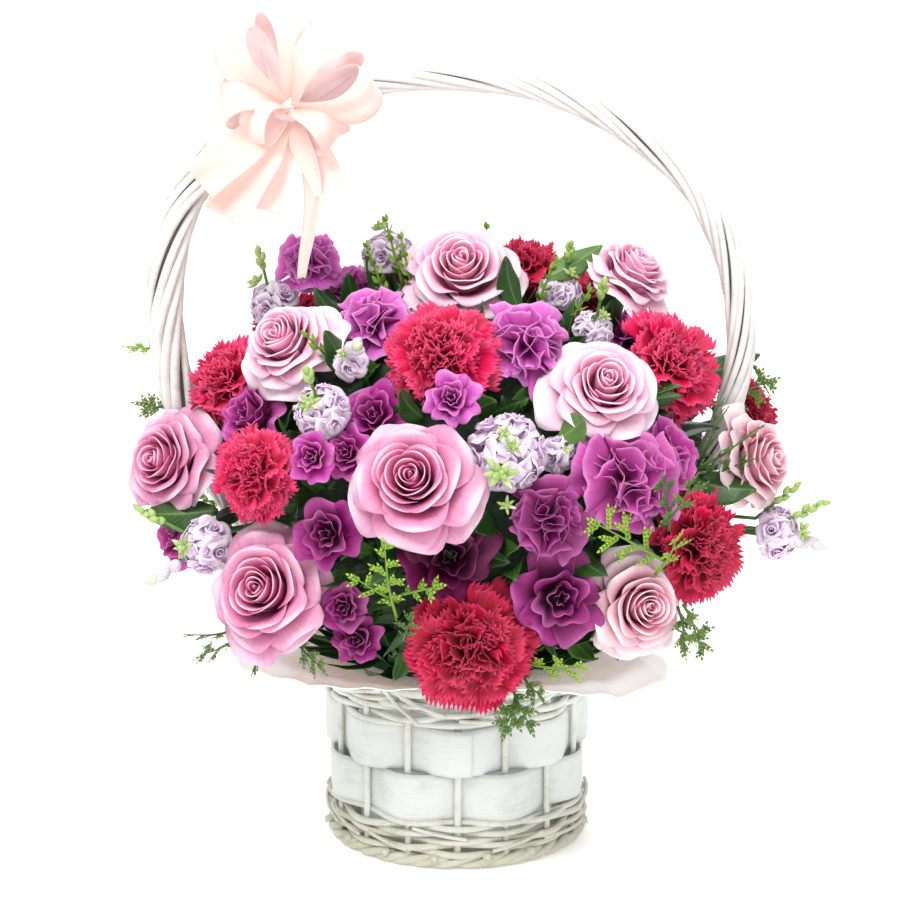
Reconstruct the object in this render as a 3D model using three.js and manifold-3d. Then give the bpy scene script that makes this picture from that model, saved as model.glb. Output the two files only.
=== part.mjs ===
// A round white wicker basket with a tall bundled handle, filled with a dome of pink roses,
// red and purple carnations and white stocks, and dressed with a satin bow.
//
// Millimetres, +Z up, +X to the viewer's right, -Y towards the viewer.
// The origin is the middle of the basket's underside, on the surface that it stands on.

import * as THREE from 'three';
import { mergeVertices } from 'three/addons/utils/BufferGeometryUtils.js';
import Module from 'manifold-3d';

const wasm = await Module();
wasm.setup();

// ---------------------------------------------------------------------------------------
// Driving dimensions
// ---------------------------------------------------------------------------------------

const GAP = 0.3; // between pieces that touch

const STAKES = { count: 16, circle: 82, width: 4.4, sunk: 2 };
const BASE = { radius: 76.5, thickness: 7 };
const FOOT = { inner: 77, outer: 86.6, height: 9.6, knots: 0.9, rounding: 1.5 };
const ROWS = { lowerBottom: 10, lowerTop: 31.4, upperBottom: 93.6, upperTop: 118.6, wall: 77 };
const BAND = { thickness: 1.6, weave: 4, lowerBottom: 31.8, joint: 62.5, upperTop: 93.2 };
const RING_STEPS = 32; // two for each stake

// The handle's centre line in the X-Z plane, with the bundle's radius at each point.
const HANDLE_LINE = [
  [-70, 7.3, 4.3], [-70, 60, 4.6], [-71, 119.5, 4.6], [-98, 156, 8.6], [-135, 206, 10.4],
  [-166, 256, 11.6], [-183, 306, 12.2], [-188, 356, 12.2], [-177, 409, 11.8], [-150, 447, 11],
  [-112, 474, 10.4], [-68, 490, 9.8], [-20, 496.5, 9.5], [27, 494.5, 9.5], [66, 485, 9.5],
  [109, 463, 9.5], [148, 430, 9.5], [170, 392, 9.5], [181, 350, 9.5], [181, 306, 9.4],
  [166, 256, 9], [137, 206, 8.4], [99, 156, 7.4], [71, 119.5, 4.6], [70, 60, 4.6], [70, 7.3, 4.3],
];
const HANDLE = { rods: 6, steps: 25, groove: 0.13, turns: 2.2 };

const LINER = { radius: 64.2, wall: 1.1, floor: 7.3, lip: 119, overRim: 121.6, overRadius: 88 };
const COLLAR = { front: 97, side: 41, corners: 7, level: 123.5, waves: 2.5, droop: 13, handleRoom: 0.8 };
const FOAM = { radius: 62.4, bottom: 8.8, top: 128, sides: 16 };
const HOLES = { radius: 2.4, depth: 24, ring: 38, around: 6 };

// The dome that the blooms' middles lie on, and how far blooms above and below its middle height
// lift or hang their faces.
const DOME = { height: 228, halfWidth: 190, halfDepth: 178, rise: 148 };
const FACING = { above: 0.6, below: 0.1, lift: 0.0004 };

const BOW = {
  knot: [-105, -20.5, 478],
  knotHalf: [12, 8.2, 10],
  ribbon: 27,
  gathered: 5, // the ribbon's width where it leaves the knot
  thickness: 1.2,
  binding: 14,
};

const KINDS = {
  rose: { height: 1.08, sides: 10, colour: 0xe7a0b8 },
  carnation: { height: 0.98, sides: 12, colour: 0xcf1246 },
  purple: { height: 0.9, sides: 8, colour: 0xa83fae },
  stock: { height: 1.1, sides: 12, colour: 0xe6d3e4 },
};

// Every bloom, spray and spike: its kind, then the middle and the radius of each of its heads.
const FLOWERS = [
  ['rose_01', 'rose', [-26, -171, 274, 38]],
  ['rose_02', 'rose', [3, -19, 375, 35]],
  ['rose_03', 'rose', [-106, -66, 337, 30]],
  ['rose_04', 'rose', [87, -117, 318, 32]],
  ['rose_05', 'rose', [-115, -134, 198, 35]],
  ['rose_06', 'rose', [109, -131, 188, 30]],
  ['rose_07', 'rose', [-183, -46, 258, 31]],
  ['rose_08', 'rose', [113, 9, 370, 28]],
  ['rose_09', 'rose', [190, -42, 258, 29]],
  ['rose_10', 'rose', [-6, 166, 282, 39]],
  ['rose_11', 'rose', [148, 112, 228, 35]],
  ['rose_12', 'rose', [-148, 111, 234, 37]],
  ['rose_13', 'rose', [-39, 94, 350, 34]],
  ['carnation_01', 'carnation', [-10, -108, 341, 32]],
  ['carnation_02', 'carnation', [-151, -27, 309, 29]],
  ['carnation_03', 'carnation', [-125, -120, 268, 27]],
  ['carnation_04', 'carnation', [8, -159, 168, 38]],
  ['carnation_05', 'carnation', [140, -37, 323, 32]],
  ['carnation_06', 'carnation', [152, -105, 217, 30]],
  ['carnation_07', 'carnation', [47, 33, 378, 24], [86, 46, 355, 23]],
  ['carnation_08', 'carnation', [198, 36, 277, 24]],
  ['carnation_09', 'carnation', [55, 112, 333, 34], [6, 62, 374, 20]],
  ['carnation_10', 'carnation', [-121, 71, 325, 31]],
  ['carnation_11', 'carnation', [-6, 161, 182, 33]],
  ['purple_01', 'purple', [42, -96, 343, 24]],
  ['purple_02', 'purple', [104, -142, 268, 30], [128, -98, 272, 23]],
  ['purple_03', 'purple', [54, -163, 249, 23]],
  ['purple_04', 'purple', [60, -152, 199, 27]],
  ['purple_05', 'purple', [-77, -152, 238, 21]],
  ['purple_06', 'purple', [-54, -53, 350, 22]],
  ['purple_07', 'purple', [-128, -67, 291, 22]],
  ['purple_08', 'purple', [-4, -143, 317, 14]],
  ['purple_09', 'purple', [-50, -113, 301, 18], [-66, -132, 282, 14], [-86, -143, 282, 13]],
  ['purple_10', 'purple', [-68, -146, 191, 13], [-60, -140, 170, 13]],
  ['purple_11', 'purple', [-71, 34, 356, 20], [-96, 20, 378, 20]],
  ['purple_12', 'purple', [-5, -148, 224, 24]],
  ['purple_13', 'purple', [115, 26, 327, 21], [109, 58, 323, 20], [124, 88, 300, 25]],
  ['purple_14', 'purple', [-177, -44, 210, 20]],
  ['purple_15', 'purple', [84, 148, 212, 22], [69, 155, 252, 25], [100, 118, 262, 21]],
  ['purple_16', 'purple', [-77, 152, 227, 22], [-80, 145, 269, 25], [-80, 108, 318, 19]],
  ['purple_17', 'purple', [-125, 84, 172, 22], [-151, 64, 190, 20]],
  ['purple_18', 'purple', [62, 116, 158, 22], [95, 97, 163, 20], [150, 60, 178, 22]],
  ['stock_01', 'stock', [-83, -131, 309, 18], [-66, -104, 334, 12]],
  ['stock_02', 'stock', [30, -156, 289, 25], [62, -134, 283, 13]],
  ['stock_03', 'stock', [-159, -95, 216, 19]],
  ['stock_04', 'stock', [87, -45, 345, 14], [69, 6, 362, 16]],
  ['stock_05', 'stock', [209, -44, 212, 18]],
  ['stock_06', 'stock', [-123, 22, 354, 18]],
  ['stock_07', 'stock', [-47, 25, 387, 18]],
  ['stock_08', 'stock', [-169, 52, 271, 20]],
  ['stock_09', 'stock', [5, 111, 334, 20]],
];

// Blooms that don't look straight out from the dome: azimuth and height angle, in degrees.
const TURNED = { rose_02: [-93, 42] };

// ---------------------------------------------------------------------------------------
// Geometry helpers
// ---------------------------------------------------------------------------------------

const V = (x, y, z) => new THREE.Vector3(x, y, z);
const UP = V(0, 0, 1);

function seededRandom(seed) {
  let state = seed;
  return () => {
    state = (state * 1664525 + 1013904223) % 4294967296;
    return state / 4294967296;
  };
}

// A closed body from rings of points that wind anticlockwise about the way that they advance.
// Each end is closed by a fan, to the given pole or else to the ring's own middle.
function ringBody(rings, startPole, endPole) {
  const sides = rings[0].length;
  const middle = (ring) => ring.reduce((sum, p) => sum.add(p), V(0, 0, 0)).divideScalar(sides);
  const points = rings.flat();
  const start = points.push(startPole ?? middle(rings[0])) - 1;
  const end = points.push(endPole ?? middle(rings[rings.length - 1])) - 1;
  const faces = [];
  for (let j = 0; j < sides; j++) {
    const k = (j + 1) % sides;
    faces.push(start, k, j);
    for (let i = 0; i + 1 < rings.length; i++) {
      const low = i * sides;
      const high = low + sides;
      faces.push(low + j, low + k, high + k, low + j, high + k, high + j);
    }
    faces.push(end, (rings.length - 1) * sides + j, (rings.length - 1) * sides + k);
  }
  return indexed(points, faces);
}

// A closed ring about the Z axis: section(step) gives the section's points there, as
// [radius, height] pairs that run anticlockwise with the radius to the right.
function hoop(steps, section) {
  const points = [];
  const faces = [];
  const sides = section(0).length;
  for (let i = 0; i < steps; i++) {
    const angle = (i / steps) * Math.PI * 2;
    for (const [r, z] of section(i)) points.push(V(r * Math.cos(angle), r * Math.sin(angle), z));
  }
  for (let i = 0; i < steps; i++) {
    const here = i * sides;
    const next = ((i + 1) % steps) * sides;
    for (let j = 0; j < sides; j++) {
      const k = (j + 1) % sides;
      faces.push(here + j, next + j, next + k, here + j, next + k, here + k);
    }
  }
  return indexed(points, faces);
}

function indexed(points, faces) {
  const geometry = new THREE.BufferGeometry();
  geometry.setAttribute('position', new THREE.Float32BufferAttribute(points.flatMap((p) => [...p]), 3));
  geometry.setIndex(faces);
  return geometry;
}

function solid(geometry) {
  const bare = geometry.clone();
  bare.deleteAttribute('normal');
  bare.deleteAttribute('uv');
  const merged = mergeVertices(bare, 1e-4);
  return new wasm.Manifold(new wasm.Mesh({
    numProp: 3,
    vertProperties: new Float32Array(merged.attributes.position.array),
    triVerts: new Uint32Array(merged.index.array),
  }));
}

const joined = (solids) => solids.reduce((whole, piece) => whole.add(piece));

function geometryOf(manifold) {
  const mesh = manifold.getMesh();
  const geometry = new THREE.BufferGeometry();
  geometry.setAttribute('position', new THREE.BufferAttribute(mesh.vertProperties, 3));
  geometry.setIndex(new THREE.BufferAttribute(mesh.triVerts, 1));
  return geometry;
}

// Rings of points round a middle line; each row is [distance along the axis, radius(side)].
function rowsAbout(rows, sides, origin, axis, spin = 0) {
  const turn = new THREE.Quaternion().setFromUnitVectors(UP, axis);
  return rows.map(([along, radius]) => Array.from({ length: sides }, (_, j) => {
    const angle = spin + (j / sides) * Math.PI * 2;
    const r = radius(j);
    const z = along(j);
    return V(r * Math.cos(angle), r * Math.sin(angle), z).applyQuaternion(turn).add(origin);
  }));
}

// ---------------------------------------------------------------------------------------
// Basket
// ---------------------------------------------------------------------------------------

const RIDGE = { out: 2.6, middle: 0.6, weave: 1.4 };

// Rows of wicker as ridges, each in front of every second stake and behind the rest: their
// outer points, [radius, height], at one of the ring's steps, from the bottom row up.
function wickerRidges(bottom, top, rows, step) {
  const pitch = (top - bottom) / (2 * rows);
  const wave = Math.cos((step * Math.PI) / 2);
  return Array.from({ length: 2 * rows + 1 }, (_, k) => {
    const sign = k % 4 === 1 ? 1 : -1;
    const ridge = k % 2 === 1 ? RIDGE.middle + sign * wave * RIDGE.weave : 0;
    return [STAKES.circle + RIDGE.out + ridge, bottom + k * pitch];
  });
}

// The base plate with the lower rows standing on its edge, as one woven body.
function basketFoot() {
  const sections = Array.from({ length: RING_STEPS }, (_, step) => [
    [BASE.radius, 0], [BASE.radius, ROWS.lowerBottom],
    ...wickerRidges(ROWS.lowerBottom, ROWS.lowerTop, 3, step),
    [ROWS.wall, ROWS.lowerTop], [ROWS.wall - 2, BASE.thickness],
  ]);
  const rows = sections[0].map((_, k) => [(j) => sections[j][k][1], (j) => sections[j][k][0]]);
  return ringBody(rowsAbout(rows, RING_STEPS, V(0, 0, 0), UP));
}

function basketRim() {
  return hoop(RING_STEPS, (step) => [
    [ROWS.wall, ROWS.upperBottom], ...wickerRidges(ROWS.upperBottom, ROWS.upperTop, 4, step),
    [ROWS.wall, ROWS.upperTop],
  ]);
}

function basketFrame() {
  const pieces = [solid(basketFoot()), solid(basketRim())];
  const bottom = ROWS.lowerTop - STAKES.sunk;
  const height = ROWS.upperBottom + STAKES.sunk - bottom;
  for (let i = 0; i < STAKES.count; i++) {
    const stake = new THREE.BoxGeometry(STAKES.width, STAKES.width, height);
    stake.translate(STAKES.circle, 0, bottom + height / 2);
    stake.rotateZ((i / STAKES.count) * Math.PI * 2);
    pieces.push(solid(stake));
  }
  return geometryOf(joined(pieces));
}

// A wide splint band that passes in front of every second stake and behind the rest.
function splintBand(bottom, top, side) {
  return hoop(RING_STEPS, (step) => {
    const r = STAKES.circle + side * BAND.weave * Math.cos((step * Math.PI) / 2);
    const half = BAND.thickness / 2;
    return [[r - half, bottom], [r + half, bottom], [r + half, top], [r - half, top]];
  });
}

// The thick rods plaited round the basket's foot.
function footBorder() {
  return hoop(RING_STEPS, (step) => {
    const knot = FOOT.knots * (step % 2);
    return [
      [FOOT.inner, 0], [FOOT.outer - FOOT.rounding, 0], [FOOT.outer + knot - 0.5, FOOT.height * 0.5],
      [FOOT.outer - FOOT.rounding, FOOT.height], [FOOT.inner + 1, FOOT.height],
      [FOOT.inner, FOOT.height * 0.6],
    ];
  });
}

// ---------------------------------------------------------------------------------------
// Handle: rods laid together in a bundle that twists slowly along a tall loop
// ---------------------------------------------------------------------------------------

const handleCurve = new THREE.CatmullRomCurve3(HANDLE_LINE.map(([x, z]) => V(x, 0, z)), false, 'centripetal');

function handleRadius(u) {
  const place = u * (HANDLE_LINE.length - 1);
  const i = Math.min(Math.floor(place), HANDLE_LINE.length - 2);
  return THREE.MathUtils.lerp(HANDLE_LINE[i][2], HANDLE_LINE[i + 1][2], place - i);
}

function handleBundle(extra) {
  const points = HANDLE.rods * 2;
  const rings = [];
  for (let i = 0; i <= HANDLE.steps; i++) {
    const u = i / HANDLE.steps;
    const middle = handleCurve.getPoint(u);
    const along = handleCurve.getTangent(u);
    const out = V(0, 1, 0).cross(along).normalize();
    const across = along.clone().cross(out);
    const ends = i === 0 || i === HANDLE.steps;
    rings.push(Array.from({ length: points }, (_, j) => {
      const angle = ((j / points) + (u * HANDLE.turns)) * Math.PI * 2;
      const groove = j % 2 ? 1 - HANDLE.groove : 1;
      const r = handleRadius(u) * groove + extra;
      const p = middle.clone().addScaledVector(out, r * Math.cos(angle));
      p.addScaledVector(across, r * Math.sin(angle));
      if (ends) p.z = middle.z;
      return p;
    }));
  }
  return ringBody(rings);
}

// ---------------------------------------------------------------------------------------
// Liner and foam
// ---------------------------------------------------------------------------------------

// How far the collar reaches beyond the rim, and how high its edge lies, at an angle.
function collarEdge(angle) {
  const sideways = Math.abs(Math.cos(angle)) ** 1.5;
  const side = COLLAR.side + COLLAR.corners * Math.sin(3 * angle + 0.6);
  const droop = COLLAR.droop * Math.max(0, Math.cos(angle));
  const wave = COLLAR.waves * Math.cos(5 * angle);
  return [COLLAR.front + side * sideways, COLLAR.level + (wave - droop) * sideways];
}

function liner() {
  const wall = LINER.wall;
  const inner = LINER.radius - wall;
  const at = (r, z) => [() => z, () => r];
  const edge = (rise) => [
    (j) => collarEdge((j / RING_STEPS) * Math.PI * 2)[1] + rise,
    (j) => collarEdge((j / RING_STEPS) * Math.PI * 2)[0],
  ];
  const rows = [
    at(LINER.radius, LINER.floor), at(LINER.radius, LINER.lip), at(LINER.overRadius, LINER.overRim),
    edge(0), edge(wall), at(LINER.overRadius, LINER.overRim + wall), at(inner, LINER.lip + wall),
    at(inner, LINER.floor + wall),
  ];
  const cup = solid(ringBody(rowsAbout(rows, RING_STEPS, V(0, 0, 0), UP)));
  return geometryOf(cup.subtract(solid(handleBundle(COLLAR.handleRoom))));
}

const holePlaces = [V(0, 0, FOAM.top)];
for (let i = 0; i < HOLES.around; i++) {
  const angle = (i / HOLES.around) * Math.PI * 2;
  holePlaces.push(V(HOLES.ring * Math.cos(angle), HOLES.ring * Math.sin(angle), FOAM.top));
}

function peg(place, radius, up, down) {
  const geometry = new THREE.CylinderGeometry(radius, radius, up + down, 6);
  geometry.rotateX(Math.PI / 2);
  geometry.translate(place.x, place.y, place.z + (up - down) / 2);
  return solid(geometry);
}

function floralFoam() {
  const { radius, bottom, top, sides } = FOAM;
  const block = new THREE.CylinderGeometry(radius, radius, top - bottom, sides);
  block.rotateX(Math.PI / 2);
  block.translate(0, 0, (top + bottom) / 2);
  const holes = holePlaces.map((place) => peg(place, HOLES.radius, 2, HOLES.depth));
  return geometryOf(holes.reduce((foam, hole) => foam.subtract(hole), solid(block)));
}

// ---------------------------------------------------------------------------------------
// Blooms
// ---------------------------------------------------------------------------------------

// The way that a bloom looks: out from the dome, with the low ones lifted level.
function facing(name, middle) {
  const turned = TURNED[name];
  if (turned) {
    const [azimuth, height] = turned.map(THREE.MathUtils.degToRad);
    return V(Math.cos(height) * Math.cos(azimuth), Math.cos(height) * Math.sin(azimuth), Math.sin(height));
  }
  const above = middle.z - DOME.height;
  return V(
    middle.x / DOME.halfWidth ** 2,
    middle.y / DOME.halfDepth ** 2,
    (above * (above > 0 ? FACING.above : FACING.below)) / DOME.rise ** 2 + FACING.lift,
  ).normalize();
}

// Petal layers as nested cups. A row is [height, radius, zigzag of the height, zigzag of the
// radius, shift], in units of the bloom's radius; the shift turns a layer by one point.
const LAYERS = {
  rose: [
    [0.22, 0.72, 0.02, 0.02, 0], [0.48, 0.93, 0.05, 0.07, 0],
    [0.4, 0.73, 0, 0.01, 0], [0.74, 0.65, 0.04, 0.05, 1], [0.6, 0.48, 0, 0.01, 1],
    [0.95, 0.42, 0.04, 0.04, 0], [0.76, 0.26, 0, 0, 0], [1.05, 0.19, 0.03, 0.02, 1],
  ],
  carnation: [
    [0.1, 0.22, 0, 0, 0], [0.2, 0.62, 0, 0.02, 0], [0.38, 0.93, 0.05, 0.07, 0],
    [0.4, 0.7, 0, 0.02, 0], [0.7, 0.66, 0.06, 0.05, 1], [0.56, 0.45, 0, 0.02, 1],
    [0.9, 0.4, 0.06, 0.05, 0], [0.72, 0.2, 0, 0.02, 1],
  ],
  purple: [
    [0.08, 0.26, 0, 0, 0], [0.42, 0.88, 0.06, 0.12, 0], [0.34, 0.6, 0.02, 0.02, 0],
    [0.78, 0.52, 0.05, 0.07, 1], [0.5, 0.24, 0.03, 0.03, 1],
  ],
};
const CENTRE = { rose: 0.9, carnation: 0.94, purple: 0.86 };

function bloom(kind, middle, radius, axis, spin) {
  const { height, sides } = KINDS[kind];
  const base = middle.clone().addScaledVector(axis, (-height * radius) / 2);
  const zigzag = (shift, amount) => (j) => ((j + shift) % 2 ? -amount : amount);
  const rows = LAYERS[kind].map(([z, r, dz, dr, shift]) => [
    (j) => radius * (z + zigzag(shift, dz)(j)),
    (j) => radius * (r + zigzag(shift, dr)(j)),
  ]);
  const rings = rowsAbout(rows, sides, base, axis, spin);
  return ringBody(rings, base, base.clone().addScaledVector(axis, CENTRE[kind] * radius));
}

// A cluster of stock: a lower ring of florets, an upper one turned between them, and a tip of
// buds. Each floret is four sides wide, and its radius dips at its edges.
const FLORET_RADIUS = [1, 0.84, 0.6, 0.84];
const FLORET_RISE = [0, 0.16, -0.05, 0.16];

function stockCluster(middle, radius, axis, spin) {
  const { height, sides } = KINDS.stock;
  const foot = middle.clone().addScaledVector(axis, (-height * radius) / 2);
  const ring = (z, r, shift, lobed) => [
    (j) => radius * (z + lobed * FLORET_RISE[(j + shift) % 4]),
    (j) => radius * (lobed ? r * FLORET_RADIUS[(j + shift) % 4] : r),
  ];
  const rows = [
    ring(0.12, 0.3, 0, 0), ring(0.38, 1, 0, 1), ring(0.42, 0.52, 0, 0), ring(0.78, 0.62, 2, 1),
    ring(0.72, 0.26, 2, 0), ring(0.95, 0.22, 0, 1),
  ];
  const tip = foot.clone().addScaledVector(axis, 1.12 * radius);
  return ringBody(rowsAbout(rows, sides, foot, axis, spin), foot, tip);
}

const LINK = { hold: 0.16, radius: 2.2 }; // between the heads of one spray

function stalkBetween(from, to, radius) {
  const axis = to.clone().sub(from);
  const length = axis.length();
  const rows = [[() => 0, () => radius], [() => length, () => radius]];
  return solid(ringBody(rowsAbout(rows, 3, from, axis.normalize())));
}

// The first head of every flower, with its middle, its facing and the foot that a stem meets.
const heads = [];
const flowerBalls = FLOWERS.flatMap(([, , ...places]) => places);
const flowerSolids = new Map();
FLOWERS.forEach(([name, kind, ...places], index) => {
  const random = seededRandom(index * 7919 + 17);
  const pieces = [];
  let lastHold = null;
  places.forEach(([x, y, z, radius], i) => {
    const middle = V(x, y, z);
    const axis = facing(name, middle);
    const foot = middle.clone().addScaledVector(axis, (-KINDS[kind].height * radius) / 2);
    const spin = random() * Math.PI;
    const head = kind === 'stock'
      ? stockCluster(middle, radius, axis, spin) : bloom(kind, middle, radius, axis, spin);
    pieces.push(solid(head));
    const hold = foot.clone().addScaledVector(axis, radius * LINK.hold);
    if (i > 0) pieces.push(stalkBetween(lastHold, hold, LINK.radius));
    lastHold = hold;
    if (i === 0) heads.push({ middle, radius, axis, foot });
  });
  flowerSolids.set(name, joined(pieces));
});

// ---------------------------------------------------------------------------------------
// Bow: one satin ribbon, tied round the handle, with loops and tails from its knot
// ---------------------------------------------------------------------------------------

// Loops: direction in the X-Z plane (degrees), reach, half opening, lean towards the viewer.
const LOOPS = [
  [172, 44, 9, 0.5], [128, 58, 11, 0.35], [92, 62, 12, 0.2], [52, 62, 12, 0.45],
  [14, 62, 11, 0.55], [-28, 40, 9, 0.7], [205, 34, 8, 1],
];
// Tails: direction, length and lean.
const TAILS = [
  [222, 78, 0.45], [236, 80, 0.3], [250, 74, 0.18], [297, 58, 0.25], [274, 104, 0.12],
];

const knotMiddle = V(...BOW.knot);

// A strip of ribbon along a line, always across the same way, as wide as widths(t) says.
function ribbonStrip(line, across, widths) {
  const rings = line.map((p, i) => {
    const before = line[Math.max(i - 1, 0)];
    const after = line[Math.min(i + 1, line.length - 1)];
    const along = after.clone().sub(before).normalize();
    const out = along.cross(across).normalize().multiplyScalar(BOW.thickness / 2);
    const half = across.clone().multiplyScalar(widths(i / (line.length - 1)) / 2);
    return [
      p.clone().add(out).add(half), p.clone().add(out).sub(half),
      p.clone().sub(out).sub(half), p.clone().sub(out).add(half),
    ];
  });
  return solid(ringBody(rings));
}

// Ways out from the knot for a ribbon, across its width, and from its back to its front.
function bowFrame(degrees, lean) {
  const angle = THREE.MathUtils.degToRad(degrees);
  const out = V(Math.cos(angle), -lean, Math.sin(angle)).normalize();
  const across = V(-Math.sin(angle), 0, Math.cos(angle));
  return { out, across, front: out.clone().cross(across).normalize() };
}

function bowLoop([degrees, reach, half, lean]) {
  const { out, across, front } = bowFrame(degrees, lean);
  const line = [];
  for (let i = 0; i <= 7; i++) {
    const t = i / 7;
    const along = reach * Math.sin(Math.PI * t) ** 0.8;
    const depth = half * Math.sin(2 * Math.PI * t) + 1.5 * Math.cos(Math.PI * t);
    line.push(knotMiddle.clone().addScaledVector(out, along).addScaledVector(front, depth));
  }
  const widest = BOW.ribbon * (0.55 + reach / 150);
  const swell = widest - BOW.gathered;
  return ribbonStrip(line, across, (t) => BOW.gathered + swell * Math.sin(Math.PI * t) ** 0.7);
}

function bowTail([degrees, length, lean]) {
  const { out, across } = bowFrame(degrees, lean);
  const line = [];
  for (let i = 0; i <= 4; i++) {
    const t = i / 4;
    const p = knotMiddle.clone().addScaledVector(out, length * t);
    p.y -= 4 * Math.sin(Math.PI * t);
    line.push(p);
  }
  return ribbonStrip(line, across, (t) => BOW.gathered + BOW.ribbon * 0.4 * Math.min(1, 2.5 * t));
}

// The ribbon's turn round the bundle, square to it at the knot.
function bowBinding() {
  let best = 0;
  const distance = (u) => handleCurve.getPoint(u).distanceTo(knotMiddle);
  for (let u = 0; u <= 1; u += 0.001) if (distance(u) < distance(best)) best = u;
  const middle = handleCurve.getPoint(best);
  const inner = handleRadius(best) + 5 * GAP;
  const outer = inner + BOW.thickness * 1.5;
  const half = BOW.binding / 2;
  const binding = hoop(12, () => [[inner, -half], [outer, -half], [outer, half], [inner, half]]);
  binding.applyQuaternion(new THREE.Quaternion().setFromUnitVectors(UP, handleCurve.getTangent(best)));
  binding.translate(...middle);
  return solid(binding);
}

function ribbonBow() {
  const knot = new THREE.SphereGeometry(1, 8, 4);
  knot.rotateX(Math.PI / 2);
  knot.scale(...BOW.knotHalf);
  knot.translate(...BOW.knot);
  return joined([solid(knot), bowBinding(), ...LOOPS.map(bowLoop), ...TAILS.map(bowTail)]);
}

const bowSolid = ribbonBow();

// ---------------------------------------------------------------------------------------
// Stems and leaves: one leafy mass with a stem and a calyx under every head
// ---------------------------------------------------------------------------------------

// The smaller core of overlapping leaf tips that stems and leaves stand out of: its height and
// its reach to the sides and to the front.
const CORE = [
  [FOAM.top + GAP, 57, 60], [140, 70, 98], [158, 80, 116], [182, 97, 128], [214, 119, 140],
  [248, 139, 148], [282, 133, 138], [314, 106, 108], [340, 66, 66],
];
const CORE_TOP = 350;
const CORE_TIPS = { around: 24, sunk: 0.85, hang: 9 };

function leafyCore() {
  const isTip = (i, j) => i === 0 || (i + j) % 2 === 0;
  const rings = CORE.map(([z, wide, deep], i) => Array.from({ length: CORE_TIPS.around }, (_, j) => {
    const angle = (j / CORE_TIPS.around) * Math.PI * 2;
    const reach = isTip(i, j) ? 1 : CORE_TIPS.sunk;
    const drop = i > 0 && isTip(i, j) ? CORE_TIPS.hang : 0;
    return V(wide * reach * Math.cos(angle), deep * reach * Math.sin(angle), z - drop);
  }));
  return solid(ringBody(rings, undefined, V(0, 0, CORE_TOP)));
}

// The place at a share of the way from the dome's middle to a point.
function towards(point, share) {
  return V(point.x * share, point.y * share, THREE.MathUtils.lerp(DOME.height, point.z, share));
}
const ROOTED = 0.5; // where stems, fronds and leaves start, well inside the core

const STEM = { root: 2.4, neck: 1.7, calyx: 0.36, widestCalyx: 11, flare: 1.6, length: 7 };

function stemAndCalyx({ middle, radius, axis, foot }) {
  const top = foot.clone().addScaledVector(axis, -GAP);
  const flare = top.clone().addScaledVector(axis, -STEM.flare);
  const neck = top.clone().addScaledVector(axis, -STEM.length);
  const root = towards(middle, ROOTED);
  const along = neck.clone().sub(root).normalize();
  const ring = (place, way, r) => rowsAbout([[() => 0, () => r]], 3, place, way)[0];
  const calyx = Math.min(radius * STEM.calyx, STEM.widestCalyx);
  const rings = [ring(root, along, STEM.root), ring(neck, along, STEM.neck), ring(flare, axis, calyx)];
  return solid(ringBody(rings, undefined, top));
}

// A thin blade from a root to a tip. Its half widths, with how far each is swept towards the
// tip, give its outline; the middle rises off the straight line by the arch.
function blade(root, tip, side, outline, thickness, arch) {
  const spine = tip.clone().sub(root);
  const out = spine.clone().cross(side).normalize();
  const rings = outline.map(([t, half, sweep]) => {
    const p = root.clone().addScaledVector(spine, t).addScaledVector(out, arch * Math.sin(Math.PI * t));
    const swept = spine.clone().multiplyScalar(sweep);
    const reach = side.clone().multiplyScalar(half);
    const thick = out.clone().multiplyScalar(thickness / 2);
    return [
      p.clone().add(reach).add(swept).add(thick), p.clone().sub(reach).add(swept).add(thick),
      p.clone().sub(reach).add(swept).sub(thick), p.clone().add(reach).add(swept).sub(thick),
    ];
  });
  return ringBody(rings);
}

function leafOutline(width) {
  return [
    [0, 1.4, 0], [0.4, 1.6, 0], [0.52, width * 0.42, 0], [0.66, width * 0.5, 0],
    [0.82, width * 0.34, 0], [1, 0.5, 0],
  ];
}

function frondOutline(width) {
  const outline = [[0, 1.3, 0], [0.34, 1.3, 0]];
  const leaflets = 4;
  for (let i = 0; i < leaflets; i++) {
    const t = 0.38 + (0.54 * i) / (leaflets - 1);
    outline.push([t, width * (0.5 - 0.07 * i), 0.045], [t + 0.055, 1.1, 0]);
  }
  return [...outline, [1.05, 0.5, 0]];
}

// Fronds and large leaves that show at the edge of the dome or over the rim: tip and width.
const FRONDS = [
  [-42, -180, 226, 26], [58, -160, 158, 24], [-150, -124, 160, 24], [140, -126, 176, 22],
  [112, -160, 232, 24], [182, -52, 292, 24], [-36, -4, 402, 20], [-203, 6, 300, 18],
  [28, -150, 134, 20], [-20, 178, 232, 26],
];
const LEAVES = [
  [80, -4, 402, 24], [36, -20, 398, 20], [186, -70, 250, 24], [86, -160, 226, 24],
  [70, -142, 300, 22], [-88, -98, 345, 22],
];

function tries(random, count) {
  return Array.from({ length: count }, () => ({
    roll: random() * Math.PI,
    nudge: V(random() - 0.5, random() - 0.5, random() - 0.5),
    bend: random() * 2 - 1,
  }));
}

// Tells whether a piece passes clear of every bloom, of the handle, the bow and the collar.
function clearanceFrom(obstacles) {
  const boxes = obstacles.map((piece) => [piece, piece.boundingBox()]);
  const near = (a, b) => [0, 1, 2].every((k) => a.min[k] - 1 < b.max[k] && b.min[k] - 1 < a.max[k]);
  return (piece) => {
    const box = piece.boundingBox();
    return boxes.every(([other, otherBox]) => !near(box, otherBox) || other.minGap(piece, 0.5) > 0.45);
  };
}

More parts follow.
